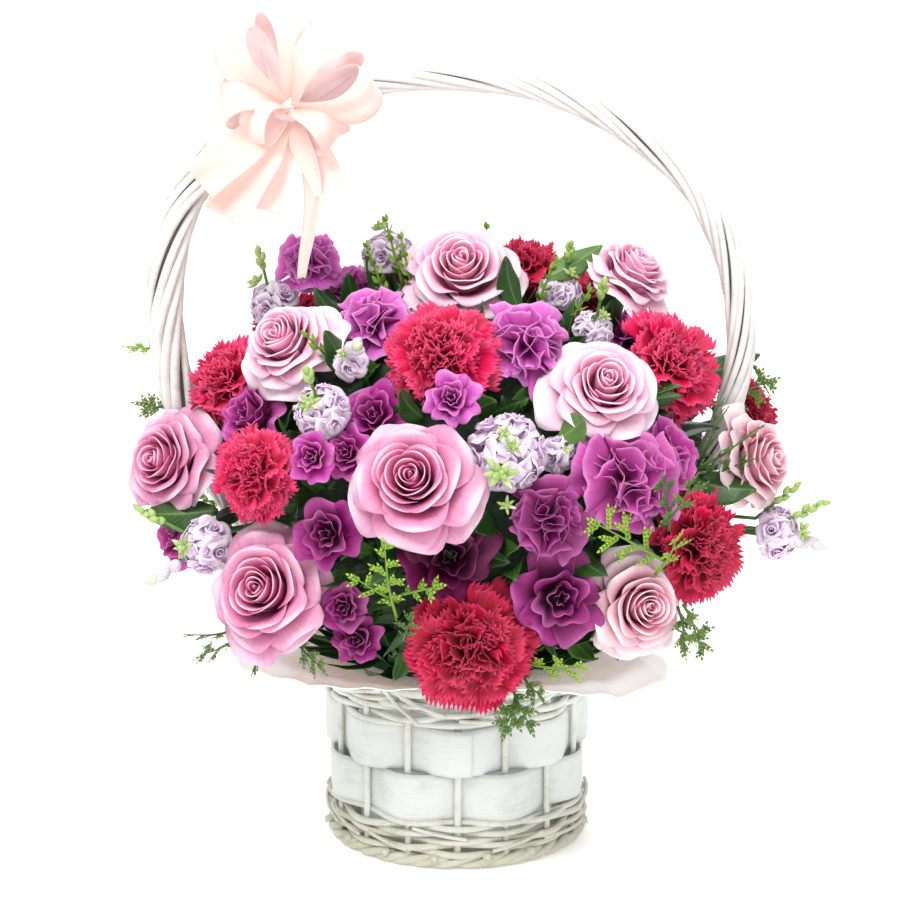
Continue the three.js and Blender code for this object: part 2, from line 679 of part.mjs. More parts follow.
// Fronds and leaves are bent, turned and nudged until they pass clear.
function placedBlades(isClear) {
  const random = seededRandom(4217);
  const placed = [];
  const place = (tip, outline, reach) => {
    for (const { roll, nudge, bend } of tries(random, 40)) {
      const end = V(...tip).addScaledVector(nudge, reach);
      const root = towards(end, ROOTED);
      const spine = end.clone().sub(root).normalize();
      const side = spine.clone().cross(V(0.2, 0.3, 0.9)).normalize().applyAxisAngle(spine, roll);
      const piece = solid(blade(root, end, side, outline, 0.9, bend * 9));
      if (!isClear(piece)) continue;
      placed.push(piece);
      return;
    }
  };
  for (const [x, y, z, width] of FRONDS) place([x, y, z], frondOutline(width), 26);
  for (const [x, y, z, width] of LEAVES) place([x, y, z], leafOutline(width), 24);
  return placed;
}

// Rosettes of three pointed leaves over three more, on a stalk, in the spaces between the blooms.
const ROSETTE = {
  sides: 6,
  rows: [[0.1, 0.16, 0, 0], [0.5, 0.84, 0.1, 0.28], [0.42, 0.4, 0, 0.04], [0.92, 0.5, -0.08, -0.18]],
  centre: 0.6,
  depth: 0.9, // share of the dome that their middles lie at
  most: 19,
  largest: 24,
  least: 10,
};

function rosette(middle, radius, spin) {
  const axis = middle.clone().sub(towards(middle, ROOTED)).normalize();
  const stalk = middle.distanceTo(towards(middle, ROOTED));
  const rows = [[() => -stalk, () => 2.2], ...ROSETTE.rows.map(([z, r, dz, dr]) => [
    (j) => radius * (z - 0.5 + (j % 2 ? -dz : dz)),
    (j) => radius * (r + (j % 2 ? -dr : dr)),
  ])];
  const rings = rowsAbout(rows, ROSETTE.sides, middle, axis, spin);
  const centre = middle.clone().addScaledVector(axis, radius * (ROSETTE.centre - 0.5));
  return solid(ringBody(rings, undefined, centre));
}

function placedRosettes(isClear) {
  const random = seededRandom(911);
  const placed = [];
  const balls = flowerBalls.map(([x, y, z, radius]) => [V(x, y, z), radius * 0.86]);
  const spots = Array.from({ length: 900 }, () => {
    const azimuth = random() * Math.PI * 2;
    const height = Math.asin(random() * 1.45 - 0.5);
    const place = V(
      DOME.halfWidth * ROSETTE.depth * Math.cos(height) * Math.cos(azimuth),
      DOME.halfDepth * ROSETTE.depth * Math.cos(height) * Math.sin(azimuth),
      DOME.height + DOME.rise * ROSETTE.depth * Math.sin(height),
    );
    const room = Math.min(...balls.map(([middle, radius]) => place.distanceTo(middle) - radius));
    return { place, room, spin: random() * Math.PI };
  });
  spots.sort((a, b) => b.room - a.room);
  for (const { place, spin } of spots) {
    if (placed.length === ROSETTE.most) break;
    const room = Math.min(...balls.map(([middle, radius]) => place.distanceTo(middle) - radius));
    const radius = Math.min(room, ROSETTE.largest);
    if (radius < ROSETTE.least) continue;
    const piece = rosette(place, radius, spin);
    if (!isClear(piece)) continue;
    placed.push(piece);
    balls.push([place, radius * 0.86]);
  }
  return placed;
}

function stemsAndLeaves(obstacles) {
  const stubs = holePlaces.map((place) => peg(place, HOLES.radius - GAP - 0.1, 6, HOLES.depth - GAP));
  const stems = heads.map(stemAndCalyx);
  const isClear = clearanceFrom(obstacles);
  return joined([leafyCore(), ...stubs, ...stems, ...placedBlades(isClear), ...placedRosettes(isClear)]);
}

// ---------------------------------------------------------------------------------------
// The object
// ---------------------------------------------------------------------------------------

const group = new THREE.Group();

function addPiece(name, geometry, colour, roughness) {
  const material = new THREE.MeshStandardMaterial({ color: colour, roughness, metalness: 0 });
  const mesh = new THREE.Mesh(geometry, material);
  mesh.name = name;
  group.add(mesh);
}

const WHITE_PAINT = 0xecebe4;
addPiece('basket_frame', basketFrame(), WHITE_PAINT, 0.55);
addPiece('foot_border', footBorder(), WHITE_PAINT, 0.6);
addPiece('splint_band_lower', splintBand(BAND.lowerBottom, BAND.joint - GAP / 2, -1), WHITE_PAINT, 0.5);
addPiece('splint_band_upper', splintBand(BAND.joint + GAP / 2, BAND.upperTop, 1), WHITE_PAINT, 0.5);
addPiece('handle', handleBundle(0), WHITE_PAINT, 0.55);
addPiece('liner', liner(), 0xf1e6e6, 0.7);
addPiece('floral_foam', floralFoam(), 0x2f5b3a, 0.95);
addPiece('ribbon_bow', geometryOf(bowSolid), 0xf6d6cb, 0.35);
for (const [name, kind] of FLOWERS) {
  addPiece(name, geometryOf(flowerSolids.get(name)), KINDS[kind].colour, 0.6);
}
const holders = [solid(handleBundle(0)), solid(liner()), bowSolid];
const greens = stemsAndLeaves([...flowerSolids.values(), ...holders]);
addPiece('stems_and_leaves', geometryOf(greens), 0x2e6127, 0.65);

export default group;
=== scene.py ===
"""Flower basket arrangement: the finer pieces and the looks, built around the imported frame.

Lengths in the tables and in the shape code are millimetres; build() turns them into metres.
Vertices carry a tag of four numbers, by which the materials paint. On a petal or leaf they are how
far along it is, how far across, a chance number for that sheet, and how far out its layer lies.
"""
import math

import bpy
import numpy as np
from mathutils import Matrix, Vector


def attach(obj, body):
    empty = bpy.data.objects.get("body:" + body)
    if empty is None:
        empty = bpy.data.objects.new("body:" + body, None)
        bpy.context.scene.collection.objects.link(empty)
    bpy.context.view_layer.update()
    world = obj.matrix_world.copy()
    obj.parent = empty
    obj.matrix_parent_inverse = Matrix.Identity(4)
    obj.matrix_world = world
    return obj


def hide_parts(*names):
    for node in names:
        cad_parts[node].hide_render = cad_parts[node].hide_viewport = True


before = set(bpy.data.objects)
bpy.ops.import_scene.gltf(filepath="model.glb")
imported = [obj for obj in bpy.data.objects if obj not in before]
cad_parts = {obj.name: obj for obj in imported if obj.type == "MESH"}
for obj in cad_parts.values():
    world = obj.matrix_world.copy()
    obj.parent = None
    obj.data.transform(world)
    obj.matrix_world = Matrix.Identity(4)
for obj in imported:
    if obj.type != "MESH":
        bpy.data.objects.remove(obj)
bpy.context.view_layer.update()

MM = 0.001
TAU = 2 * math.pi
GOLDEN = 2.39996
UP = (0, 0, 1)

# ----------------------------------------------------------------------------------------
# Dimensions shared with the solids
# ----------------------------------------------------------------------------------------

# The stakes stand on a circle of this radius.
STAKES = 16
CIRCLE = 82.0
# The heights of the two parts of wicker, and of the splints, with the way that each starts to weave.
FOOT_Z = (10.0, 31.4)
RIM_Z = (93.6, 118.6)
BANDS = (("splint_band_lower", 31.8, 62.35, -1), ("splint_band_upper", 62.65, 93.2, 1))

# The handle's line: x, z and the bundle's radius.
HANDLE_LINE = [
    (-70, 7.3, 4.3), (-70, 60, 4.6), (-71, 119.5, 4.6), (-98, 156, 8.6), (-135, 206, 10.4),
    (-166, 256, 11.6), (-183, 306, 12.2), (-188, 356, 12.2), (-177, 409, 11.8), (-150, 447, 11),
    (-112, 474, 10.4), (-68, 490, 9.8), (-20, 496.5, 9.5), (27, 494.5, 9.5), (66, 485, 9.5),
    (109, 463, 9.5), (148, 430, 9.5), (170, 392, 9.5), (181, 350, 9.5), (181, 306, 9.4),
    (166, 256, 9), (137, 206, 8.4), (99, 156, 7.4), (71, 119.5, 4.6), (70, 60, 4.6), (70, 7.3, 4.3),
]
HANDLE_FOOT = 7.4
LINER = dict(radius=64.2, wall=1.1, floor=7.3, lip=119.0, over_rim=121.6, over_radius=88.0)
DOME = dict(height=228.0, wide=190.0, deep=178.0, rise=148.0)
# The leafy core: a height, and how far it reaches sideways and deep.
CORE = [
    (128.3, 57, 60), (140, 70, 98), (158, 80, 116), (182, 97, 128), (214, 119, 140),
    (248, 139, 148), (282, 133, 138), (314, 106, 108), (340, 66, 66),
]
KNOT = np.array([-105.0, -20.5, 478.0])
RIBBON = 27.0
# The bow's loops: the angle round the knot, reach, half depth, lean to the viewer, roll in degrees.
LOOPS = [
    (172, 44, 11, 0.5, 35), (128, 58, 13, 0.35, -30), (92, 62, 14, 0.2, 28), (52, 62, 14, 0.45, -34),
    (14, 62, 13, 0.55, 38), (-28, 40, 11, 0.7, -30), (205, 34, 11, 1, 50),
]
# Its tails: the angle, reach, lean and the share of the ribbon's width; one longer than LONG_TAIL curls.
TAILS = [
    (220, 76, 0.45, 0.62), (239, 80, 0.28, 0.78), (256, 66, 0.15, 0.5), (299, 58, 0.25, 0.58),
    (278, 106, 0.12, 0.42),
]
LONG_TAIL = 100

# A head's height by its radius, and the blooms: the middle and radius of each head.
HEIGHTS = dict(rose=1.08, carnation=0.98, purple=0.9, stock=1.1)
FLOWERS = [
    ("rose_01", [(-26, -171, 274, 38)]),
    ("rose_02", [(3, -19, 375, 35)]),
    ("rose_03", [(-106, -66, 337, 30)]),
    ("rose_04", [(87, -117, 318, 32)]),
    ("rose_05", [(-115, -134, 198, 35)]),
    ("rose_06", [(109, -131, 188, 30)]),
    ("rose_07", [(-183, -46, 258, 31)]),
    ("rose_08", [(113, 9, 370, 28)]),
    ("rose_09", [(190, -42, 258, 29)]),
    ("rose_10", [(-6, 166, 282, 39)]),
    ("rose_11", [(148, 112, 228, 35)]),
    ("rose_12", [(-148, 111, 234, 37)]),
    ("rose_13", [(-39, 94, 350, 34)]),
    ("carnation_01", [(-10, -108, 341, 32)]),
    ("carnation_02", [(-151, -27, 309, 29)]),
    ("carnation_03", [(-125, -120, 268, 27)]),
    ("carnation_04", [(8, -159, 168, 38)]),
    ("carnation_05", [(140, -37, 323, 32)]),
    ("carnation_06", [(152, -105, 217, 30)]),
    ("carnation_07", [(47, 33, 378, 24), (86, 46, 355, 23)]),
    ("carnation_08", [(198, 36, 277, 24)]),
    ("carnation_09", [(55, 112, 333, 34), (6, 62, 374, 20)]),
    ("carnation_10", [(-121, 71, 325, 31)]),
    ("carnation_11", [(-6, 161, 182, 33)]),
    ("purple_01", [(42, -96, 343, 24)]),
    ("purple_02", [(104, -142, 268, 30), (128, -98, 272, 23)]),
    ("purple_03", [(54, -163, 249, 23)]),
    ("purple_04", [(60, -152, 199, 27)]),
    ("purple_05", [(-77, -152, 238, 21)]),
    ("purple_06", [(-54, -53, 350, 22)]),
    ("purple_07", [(-128, -67, 291, 22)]),
    ("purple_08", [(-4, -143, 317, 14)]),
    ("purple_09", [(-50, -113, 301, 18), (-66, -132, 282, 14), (-86, -143, 282, 13)]),
    ("purple_10", [(-68, -146, 191, 13), (-60, -140, 170, 13)]),
    ("purple_11", [(-71, 34, 356, 20), (-96, 20, 378, 20)]),
    ("purple_12", [(-5, -148, 224, 24)]),
    ("purple_13", [(115, 26, 327, 21), (109, 58, 323, 20), (124, 88, 300, 25)]),
    ("purple_14", [(-177, -44, 210, 20)]),
    ("purple_15", [(84, 148, 212, 22), (69, 155, 252, 25), (100, 118, 262, 21)]),
    ("purple_16", [(-77, 152, 227, 22), (-80, 145, 269, 25), (-80, 108, 318, 19)]),
    ("purple_17", [(-125, 84, 172, 22), (-151, 64, 190, 20)]),
    ("purple_18", [(62, 116, 158, 22), (95, 97, 163, 20), (150, 60, 178, 22)]),
    ("stock_01", [(-83, -131, 309, 18), (-66, -104, 334, 12)]),
    ("stock_02", [(30, -156, 289, 25), (62, -134, 283, 13)]),
    ("stock_03", [(-159, -95, 216, 19)]),
    ("stock_04", [(87, -45, 345, 14), (69, 6, 362, 16)]),
    ("stock_05", [(209, -44, 212, 18)]),
    ("stock_06", [(-123, 22, 354, 18)]),
    ("stock_07", [(-47, 25, 387, 18)]),
    ("stock_08", [(-169, 52, 271, 20)]),
    ("stock_09", [(5, 111, 334, 20)]),
]
# Blooms that look another way than out of the dome: the angle round it and the height, in degrees.
TURNED = {
    "rose_01": (-99, 29), "rose_02": (-93, 42), "rose_04": (-78, 38), "rose_05": (-114, 22),
    "rose_07": (-129, 20), "purple_11": (-98, 30),
}


# ----------------------------------------------------------------------------------------
# Mesh helpers
# ----------------------------------------------------------------------------------------

def unit(v):
    return v / np.maximum(np.linalg.norm(v, axis=-1, keepdims=True), 1e-9)


def smooth(x, low, high):
    s = np.clip((x - low) / (high - low), 0, 1)
    return s * s * (3 - 2 * s)


def cubic(p0, p1, p2, p3, h):
    k = 1 - h
    return k ** 3 * p0 + 3 * k * k * h * p1 + 3 * k * h * h * p2 + h ** 3 * p3


def stack(*parts):
    """Points or tags from their parts, each a number or an array."""
    return np.stack(np.broadcast_arrays(*parts), -1)


def grid(columns, rows):
    """Places across a sheet, from -1 to 1, and along it, from 0 to 1."""
    return np.linspace(-1, 1, columns)[None, :], np.linspace(0, 1, rows)[:, None]


def circle(steps):
    return np.arange(steps) / steps * TAU


def around(angle, radius, height):
    """Points round z."""
    return stack(radius * np.cos(angle), radius * np.sin(angle), height)


def even(chance, u=0.0):
    """The tag of a body of one tone."""
    return np.array([0.5, u, chance, 0.5], float)


def green(chance):
    """The same for stems and scales, away from where a leaf's midrib is painted."""
    return even(chance, 0.6)


def level(azimuth):
    """The level direction at an angle round z."""
    return np.array([math.cos(azimuth), math.sin(azimuth), 0])


def leaning(lean, azimuth):
    """The direction that leans away from z, towards an angle round it."""
    return level(azimuth) * math.sin(lean) + np.array([0, 0, math.cos(lean)])


def turned(a, b, angle):
    """Two square directions, both turned in their own plane."""
    c, s = math.cos(angle), math.sin(angle)
    return a * c + b * s, b * c - a * s


def basis(axis, spin=0.0):
    """Columns x, y, z of a frame whose z is the axis."""
    axis = unit(np.asarray(axis, float))
    side = unit(np.cross(axis, (0.13, 0.21, 0.97) if abs(axis[2]) < 0.9 else (1, 0, 0)))
    other = np.cross(axis, side)
    x = side * math.cos(spin) + other * math.sin(spin)
    return np.stack([x, np.cross(axis, x), axis], axis=1)


class Soup:
    """The sheets and tubes of one piece."""

    def __init__(self):
        self.points, self.tags, self.quads, self.tris, self.count = [], [], [], [], 0

    def add(self, points, tags, quads, tris=None):
        points = points.reshape(-1, 3)
        self.points.append(points)
        self.tags.append(np.broadcast_to(tags, (len(points), 4)))
        self.quads.append(quads + self.count)
        if tris is not None:
            self.tris.append(tris + self.count)
        self.count += len(points)

    def sheet(self, points, tags, thickness=0.5, rim=0.4, under=None):
        """A thin closed body on both sides of a grid of points; under is its back's layer."""
        n, m = points.shape[:2]
        normal = unit(np.cross(np.gradient(points, axis=1), np.gradient(points, axis=0)))
        half = np.full((n, m, 1), thickness / 2)
        half[[0, -1]] *= rim
        half[:, [0, -1]] *= rim
        index = np.arange(n * m).reshape(n, m)
        front = np.stack([index[:-1, :-1], index[:-1, 1:], index[1:, 1:], index[1:, :-1]], -1).reshape(-1, 4)
        loop = np.concatenate([index[0, :-1], index[:-1, -1], index[-1, :0:-1], index[:0:-1, 0]])
        after = np.roll(loop, -1)
        edge = np.stack([loop, loop + n * m, after + n * m, after], -1)
        quads = np.concatenate([front, front[:, ::-1] + n * m, edge])
        both = np.concatenate([points + normal * half, points - normal * half]).reshape(-1, 3)
        flat = np.broadcast_to(tags, (n, m, 4)).reshape(-1, 4)
        back = flat.copy()
        if under is not None:
            back[:, 3] = under
        self.add(both, np.concatenate([flat, back]), quads)

    def rings(self, rings, tags, closed=False):
        """A body from rings of points with shut ends; closed joins its last ring to its first instead."""
        n, m = rings.shape[:2]
        index = np.arange(n * m).reshape(n, m)
        low, high = (index, np.roll(index, -1, axis=0)) if closed else (index[:-1], index[1:])
        quads = np.stack([low, np.roll(low, -1, axis=1), np.roll(high, -1, axis=1), high], -1).reshape(-1, 4)
        flat = np.broadcast_to(tags, (n, m, 4)).reshape(-1, 4)
        if closed:
            self.add(rings, flat, quads)
            return
        ends = np.stack([rings[0].mean(0), rings[-1].mean(0)])
        first, last = index[0], index[-1]
        tris = np.concatenate([
            np.stack([np.full(m, n * m), np.roll(first, -1), first], -1),
            np.stack([np.full(m, n * m + 1), last, np.roll(last, -1)], -1),
        ])
        points = np.concatenate([rings.reshape(-1, 3), ends])
        self.add(points, np.concatenate([flat, flat[:1], flat[-1:]]), quads, tris)

    def tube(self, path, radius, sides, ref, tags, closed=False, flat=1.0):
        """A rod along a path; flat squeezes it sideways of the path and ref."""
        path = np.asarray(path, float)
        if closed:
            along = unit(np.roll(path, -1, axis=0) - np.roll(path, 1, axis=0))
        else:
            along = unit(np.gradient(path, axis=0))
        side = unit(np.cross(along, np.asarray(ref, float)))
        other = np.cross(along, side)
        angle = circle(sides)
        radius = np.broadcast_to(np.asarray(radius, float), (len(path),))[:, None, None]
        ring = side[:, None] * np.cos(angle)[None, :, None] * flat
        ring = ring + other[:, None] * np.sin(angle)[None, :, None]
        self.rings(path[:, None] + ring * radius, np.asarray(tags, float), closed)

    def ball(self, middle, axis, radius, length, tags, sides=8, rows=6):
        """A pointed oval body, such as a bud."""
        h = np.linspace(0.06, 0.97, rows)[:, None]
        r = radius * np.sin(np.pi * h ** 0.85) ** 0.8
        local = around(circle(sides), r, (h - 0.5) * length)
        self.rings(local @ basis(axis).T + middle, np.asarray(tags, float))


def link(name, data):
    thing = bpy.data.objects.new(name, data)
    bpy.context.scene.collection.objects.link(thing)
    return thing


def build(soup, name, material, nodes=()):
    """The finished piece, in metres, riding on the one body."""
    points = np.concatenate(soup.points) * MM
    quads = np.concatenate(soup.quads)
    tris = np.concatenate(soup.tris) if soup.tris else np.zeros((0, 3), int)
    corners = np.concatenate([quads.ravel(), tris.ravel()])
    starts = np.concatenate([np.arange(len(quads)) * 4, quads.size + np.arange(len(tris)) * 3])
    mesh = bpy.data.meshes.new(name)
    mesh.vertices.add(len(points))
    mesh.vertices.foreach_set("co", points.astype(np.float32).ravel())
    mesh.loops.add(len(corners))
    mesh.loops.foreach_set("vertex_index", corners.astype(np.int32))
    mesh.polygons.add(len(starts))
    mesh.polygons.foreach_set("loop_start", starts.astype(np.int32))
    mesh.polygons.foreach_set("use_smooth", np.ones(len(starts), bool))
    mesh.update(calc_edges=True)
    mesh.validate()
    tag = mesh.attributes.new("tag", "FLOAT_COLOR", "POINT")
    tag.data.foreach_set("color", np.concatenate(soup.tags).astype(np.float32).ravel())
    mesh.materials.append(material)
    piece = link(name, mesh)
    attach(piece, "root")
    if nodes:
        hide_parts(*nodes)
    return piece


# ----------------------------------------------------------------------------------------
# Materials
# ----------------------------------------------------------------------------------------

def colour(hexed):
    """An sRGB colour as the shader's linear one."""
    parts = [int(hexed[i:i + 2], 16) / 255 for i in (0, 2, 4)]
    return [c / 12.92 if c < 0.04045 else ((c + 0.055) / 1.055) ** 2.4 for c in parts] + [1.0]


class Nodes:
    """A short way to write a material's nodes."""

    def __init__(self, name, **fixed):
        self.material = bpy.data.materials.new(name)
        self.material.use_nodes = True
        self.tree = self.material.node_tree
        self.shader = next(n for n in self.tree.nodes if n.type == "BSDF_PRINCIPLED")
        for socket, value in fixed.items():
            self.shader.inputs[socket.replace("_", " ")].default_value = value

    def node(self, kind, inputs=None, **settings):
        node = self.tree.nodes.new(kind)
        for key, value in settings.items():
            setattr(node, key, value)
        for key, value in (inputs or {}).items():
            if isinstance(value, bpy.types.NodeSocket):
                self.tree.links.new(value, node.inputs[key])
            else:
                node.inputs[key].default_value = value
        return node

    def ramp(self, factor, stops):
        node = self.node("ShaderNodeValToRGB", {0: factor})
        elements = node.color_ramp.elements
        while len(elements) < len(stops):
            elements.new(0.5)
        for element, (place, hexed) in zip(elements, stops):
            element.position = place
            element.color = colour(hexed)
        return node.outputs[0]

    def math(self, kind, a, b=0.0):
        return self.node("ShaderNodeMath", {0: a, 1: b}, operation=kind).outputs[0]

    def times(self, a, b):
        return self.math("MULTIPLY", a, b)

    def plus(self, a, b):
        return self.math("ADD", a, b)

    def minus(self, a, b):
        return self.math("SUBTRACT", a, b)

    def spread(self, factor, low, high):
        """A factor of 0 to 1 spread over another range."""
        return self.node("ShaderNodeMapRange", {0: factor, 3: low, 4: high}).outputs[0]

    def mix(self, factor, a, b, kind="MIX"):
        node = self.node("ShaderNodeMix", data_type="RGBA", blend_type=kind)
        for socket, value in ((node.inputs[0], factor), (node.inputs[6], a), (node.inputs[7], b)):
            if isinstance(value, bpy.types.NodeSocket):
                self.tree.links.new(value, socket)
            else:
                socket.default_value = value
        return node.outputs[2]

    def tag(self):
        """The tag's four numbers."""
        node = self.node("ShaderNodeAttribute", attribute_name="tag")
        split = self.node("ShaderNodeSeparateColor", {0: node.outputs["Color"]})
        return split.outputs[0], split.outputs[1], split.outputs[2], node.outputs["Alpha"]

    def noise(self, place, scale, detail=3.0, rough=0.55):
        inputs = {"Vector": place, "Scale": scale, "Detail": detail, "Roughness": rough}
        return self.node("ShaderNodeTexNoise", inputs).outputs[0]

    def cells(self, scale):
        return self.node("ShaderNodeTexVoronoi", {"Vector": self.place(), "Scale": scale}).outputs[0]

    def place(self):
        return self.node("ShaderNodeTexCoord").outputs["Object"]

    def combine(self, x, y, z):
        return self.node("ShaderNodeCombineXYZ", {0: x, 1: y, 2: z}).outputs[0]

    def bump(self, height, strength, distance):
        inputs = {"Height": height, "Strength": strength, "Distance": distance}
        return self.node("ShaderNodeBump", inputs).outputs[0]

    def paint(self, base, normal=None, rough=None):
        self.tree.links.new(base, self.shader.inputs["Base Color"])
        if normal is not None:
            self.tree.links.new(normal, self.shader.inputs["Normal"])
        if rough is not None:
            self.tree.links.new(rough, self.shader.inputs["Roughness"])
        return self.material


BLACK, WHITE = "000000", "ffffff"


def petal_material(name, along, deep, depth, streaks, edge, roughness, glow, tint=None, gloss=0.08):
    """Petals: colour along the petal, deeper towards the middle of the bloom, with fine streaks."""
    m = Nodes(
        name, Roughness=roughness, Subsurface_Weight=glow, Subsurface_Scale=0.003,
        Subsurface_Radius=(1.0, 0.4, 0.5), Sheen_Weight=0.01, Sheen_Roughness=0.5, Specular_IOR_Level=gloss,
    )
    v, u, chance, layer = m.tag()
    wander = m.times(m.minus(m.noise(m.place(), 60.0), 0.5), 0.25)
    base = m.ramp(m.plus(v, wander), along)
    inner = m.times(m.minus(1.0, layer), depth)
    base = m.mix(inner, base, m.mix(0.75, base, colour(deep)))
    lines = m.noise(m.combine(m.times(u, 26.0), m.times(v, 1.6), m.times(chance, 40.0)), 1.0)
    shade = m.ramp(lines, [(0.3, "b0b0b0"), (0.62, WHITE)])
    base = m.mix(streaks, base, m.mix(1.0, base, shade, "MULTIPLY"))
    base = m.mix(m.times(chance, 0.08), base, m.mix(0.5, base, (1, 1, 1, 1)))
    if tint:
        stain, start = tint
        outer = m.ramp(m.plus(layer, m.times(m.minus(chance, 0.5), 0.3)), [(start, BLACK), (1.0, WHITE)])
        low = m.ramp(v, [(0.25, WHITE), (0.75, BLACK)])
        base = m.mix(m.times(m.times(outer, low), 0.75), base, colour(stain))
    rim, start, weight = edge
    at_rim = m.ramp(v, [(start, BLACK), (1.0, WHITE)])
    base = m.mix(m.times(at_rim, weight), base, colour(rim))
    return m.paint(base, m.bump(lines, 0.35, 0.0006))


def painted_material(name, paint, dirt, grain=(1, 1, 1), roughness=0.5, foot=False):
    """White paint over wood: thin brushed coat, dirt in the lows, scuffs, and a dark grey heart colour that
    is painted shade between the handle's rods; the foot is yellower.
    """
    m = Nodes(name, Specular_IOR_Level=0.35)
    place = m.place()
    stretched = m.node("ShaderNodeMapping", {"Vector": place, "Scale": grain}).outputs[0]
    fibre = m.noise(stretched, 900.0, 4.0, 0.6)
    patch = m.noise(place, 38.0, 3.0, 0.6)
    _, _, chance, layer = m.tag()
    base = m.ramp(m.plus(m.times(patch, 0.6), m.times(fibre, 0.4)), [(0.28, dirt), (0.5, paint)])
    base = m.mix(m.times(chance, 0.5), base, m.mix(0.35, base, colour(dirt)))
    # The dark grey heart colour, where the layer is low, is painted shade in the gaps between the handle's
    # rods.
    heart = m.ramp(layer, [(0.1, WHITE), (0.3, BLACK)])
    base = m.mix(heart, base, colour("5a5751"))
    if foot:
        height = m.node("ShaderNodeSeparateXYZ", {0: place}).outputs[2]
        low = m.ramp(m.times(height, 30.0), [(0.0, WHITE), (1.0, BLACK)])
        base = m.mix(m.times(low, 0.45), base, colour("b5ad86"))
    rough = m.spread(fibre, roughness - 0.1, roughness + 0.15)
    return m.paint(base, m.bump(fibre, 0.45, 0.0005), rough)


# Petals: the material's name, places and colours along the petal, the heart's colour and its depth, the
# streaks' weight, the rim's colour, start and weight, roughness, glow, then the outer petals' colour and
# start and the gloss.
ALONG = (0.0, 0.45, 0.8, 1.0)
PETALS = {
    "rose": (
        "rose_petal", ALONG, "c23070 ce6096 d688ae e3a8c2", "c83a7a", 0.75, 0.3, ("f4d0df", 0.91, 0.6),
        0.5, 0.4, ("d2c492", 0.9), 0.2),
    # A lighter copy of the rose's colours, which paints the light that falls on the upper roses.
    "rose_light": (
        "rose_petal_light", ALONG, "d04e86 e48eb2 f0b8cf f8d6e2", "d85a90", 0.65, 0.2, ("fae2eb", 0.9, 0.65),
        0.5, 0.4, ("dccf9e", 0.9), 0.2),
    "rose_cream": (
        "rose_petal_pale", ALONG, "cc5480 e08aa2 eab6c2 f4d5d9", "d2547e", 0.7, 0.2, ("fae6e8", 0.88, 0.6),
        0.5, 0.4, ("e2d2b4", 0.95), 0.2),
    "carnation": (
        "carnation_petal", (0.0, 0.5, 0.82, 1.0), "48000a 960022 c00438 dc1c52", "780016", 0.6, 0.55,
        ("ee5484", 0.92, 0.28), 0.65, 0.15),
    "carnation_pink": (
        "carnation_petal_pink", (0.0, 0.5, 0.82, 1.0), "620018 c2023a dc0a4e ee3672", "a00028", 0.6, 0.5,
        ("f66e9a", 0.92, 0.3), 0.65, 0.15),
    "purple": (
        "purple_petal", ALONG, "5a0440 9c1c78 bb3c9a ce6ab2", "7a0660", 0.62, 0.45, ("e69ad4", 0.92, 0.28),
        0.6, 0.2),
    "purple_light": (
        "purple_petal_light", ALONG, "660850 ac2c92 ca54b2 db82c8", "880e74", 0.6, 0.45,
        ("eab0e2", 0.92, 0.3), 0.6, 0.2),
    # Darker copies of the purple's colours: partly the blooms' own deeper tone, partly painted shade on the
    # low blooms under the dome.
    "purple_deep": (
        "purple_petal_deep", ALONG, "3c022c 720854 902070 aa4890", "540440", 0.7, 0.45,
        ("d080bc", 0.92, 0.25), 0.6, 0.1),
    "purple_dark": (
        "purple_petal_dark", (0.0, 0.5, 0.85, 1.0), "28021c 4c0632 660f44 7c2460", "340224", 0.7, 0.45,
        ("94487e", 0.95, 0.3), 0.62, 0.1),
    "stock": (
        "stock_petal", (0.0, 0.16, 0.5, 1.0), "b6ae5c bf92c2 d8b6da f2e2f0", "b080ba", 0.5, 0.25,
        ("fdf6fb", 0.9, 0.5), 0.6, 0.2),
}


def make_materials():
    mats = {}
    for look, (name, places, colours, *rest) in PETALS.items():
        mats[look] = petal_material(name, list(zip(places, colours.split())), *rest)
    mats["bud"] = bud_material()
    mats["leaf"] = leaf_material("leaf_skin", "10300c", "34661e", "7a9c4c", 0.42)
    mats["cedar"] = leaf_material("cedar_scales", "52761a", "769e26", "a2c23c", 0.5)
    mats["dark_cedar"] = leaf_material("dark_cedar_scales", "2a4a14", "4d7626", "7f8a38", 0.55)
    mats["core"] = core_material()
    mats["wicker"] = painted_material("painted_wicker", "d6d8d0", "a8a48f", foot=True)
    mats["splint"] = painted_material("painted_splint", "d5d8d4", "bfc2bc", grain=(0.08, 0.08, 1))
    mats["rods"] = painted_material("painted_rods", "e6e5e2", "b7b2ab", roughness=0.48)
    mats["satin"] = satin_material()
    mats["liner"] = liner_material()
    mats["foam"] = foam_material()
    return mats


def bud_material():
    """Buds from green to nearly white, by their chance number."""
    m = Nodes("bud_skin", Roughness=0.5, Subsurface_Weight=0.2, Subsurface_Scale=0.003)
    _, _, chance, _ = m.tag()
    base = m.ramp(chance, [(0.0, "8fae52"), (0.5, "a9c07a"), (0.7, "c9d3a4"), (0.9, "d8cbdc")])
    fine = m.noise(m.place(), 500.0)
    return m.paint(m.mix(0.3, base, m.mix(fine, base, colour("6f8f3c"))), m.bump(fine, 0.4, 0.0005))


def core_material():
    """The dark green between the leaves, painted shade for the depths of the dome."""
    m = Nodes("painted_shade_green", Roughness=0.8)
    base = m.ramp(m.noise(m.place(), 55.0, 4.0), [(0.3, "0a1a0b"), (0.7, "1b3a17")])
    return m.paint(base, m.bump(m.noise(m.place(), 140.0, 4.0), 0.9, 0.004))


def foam_material():
    m = Nodes("wet_foam", Roughness=0.95)
    cells = m.cells(900.0)
    return m.paint(m.ramp(cells, [(0.1, "1f4430"), (0.6, "37684a")]), m.bump(cells, 0.6, 0.001))


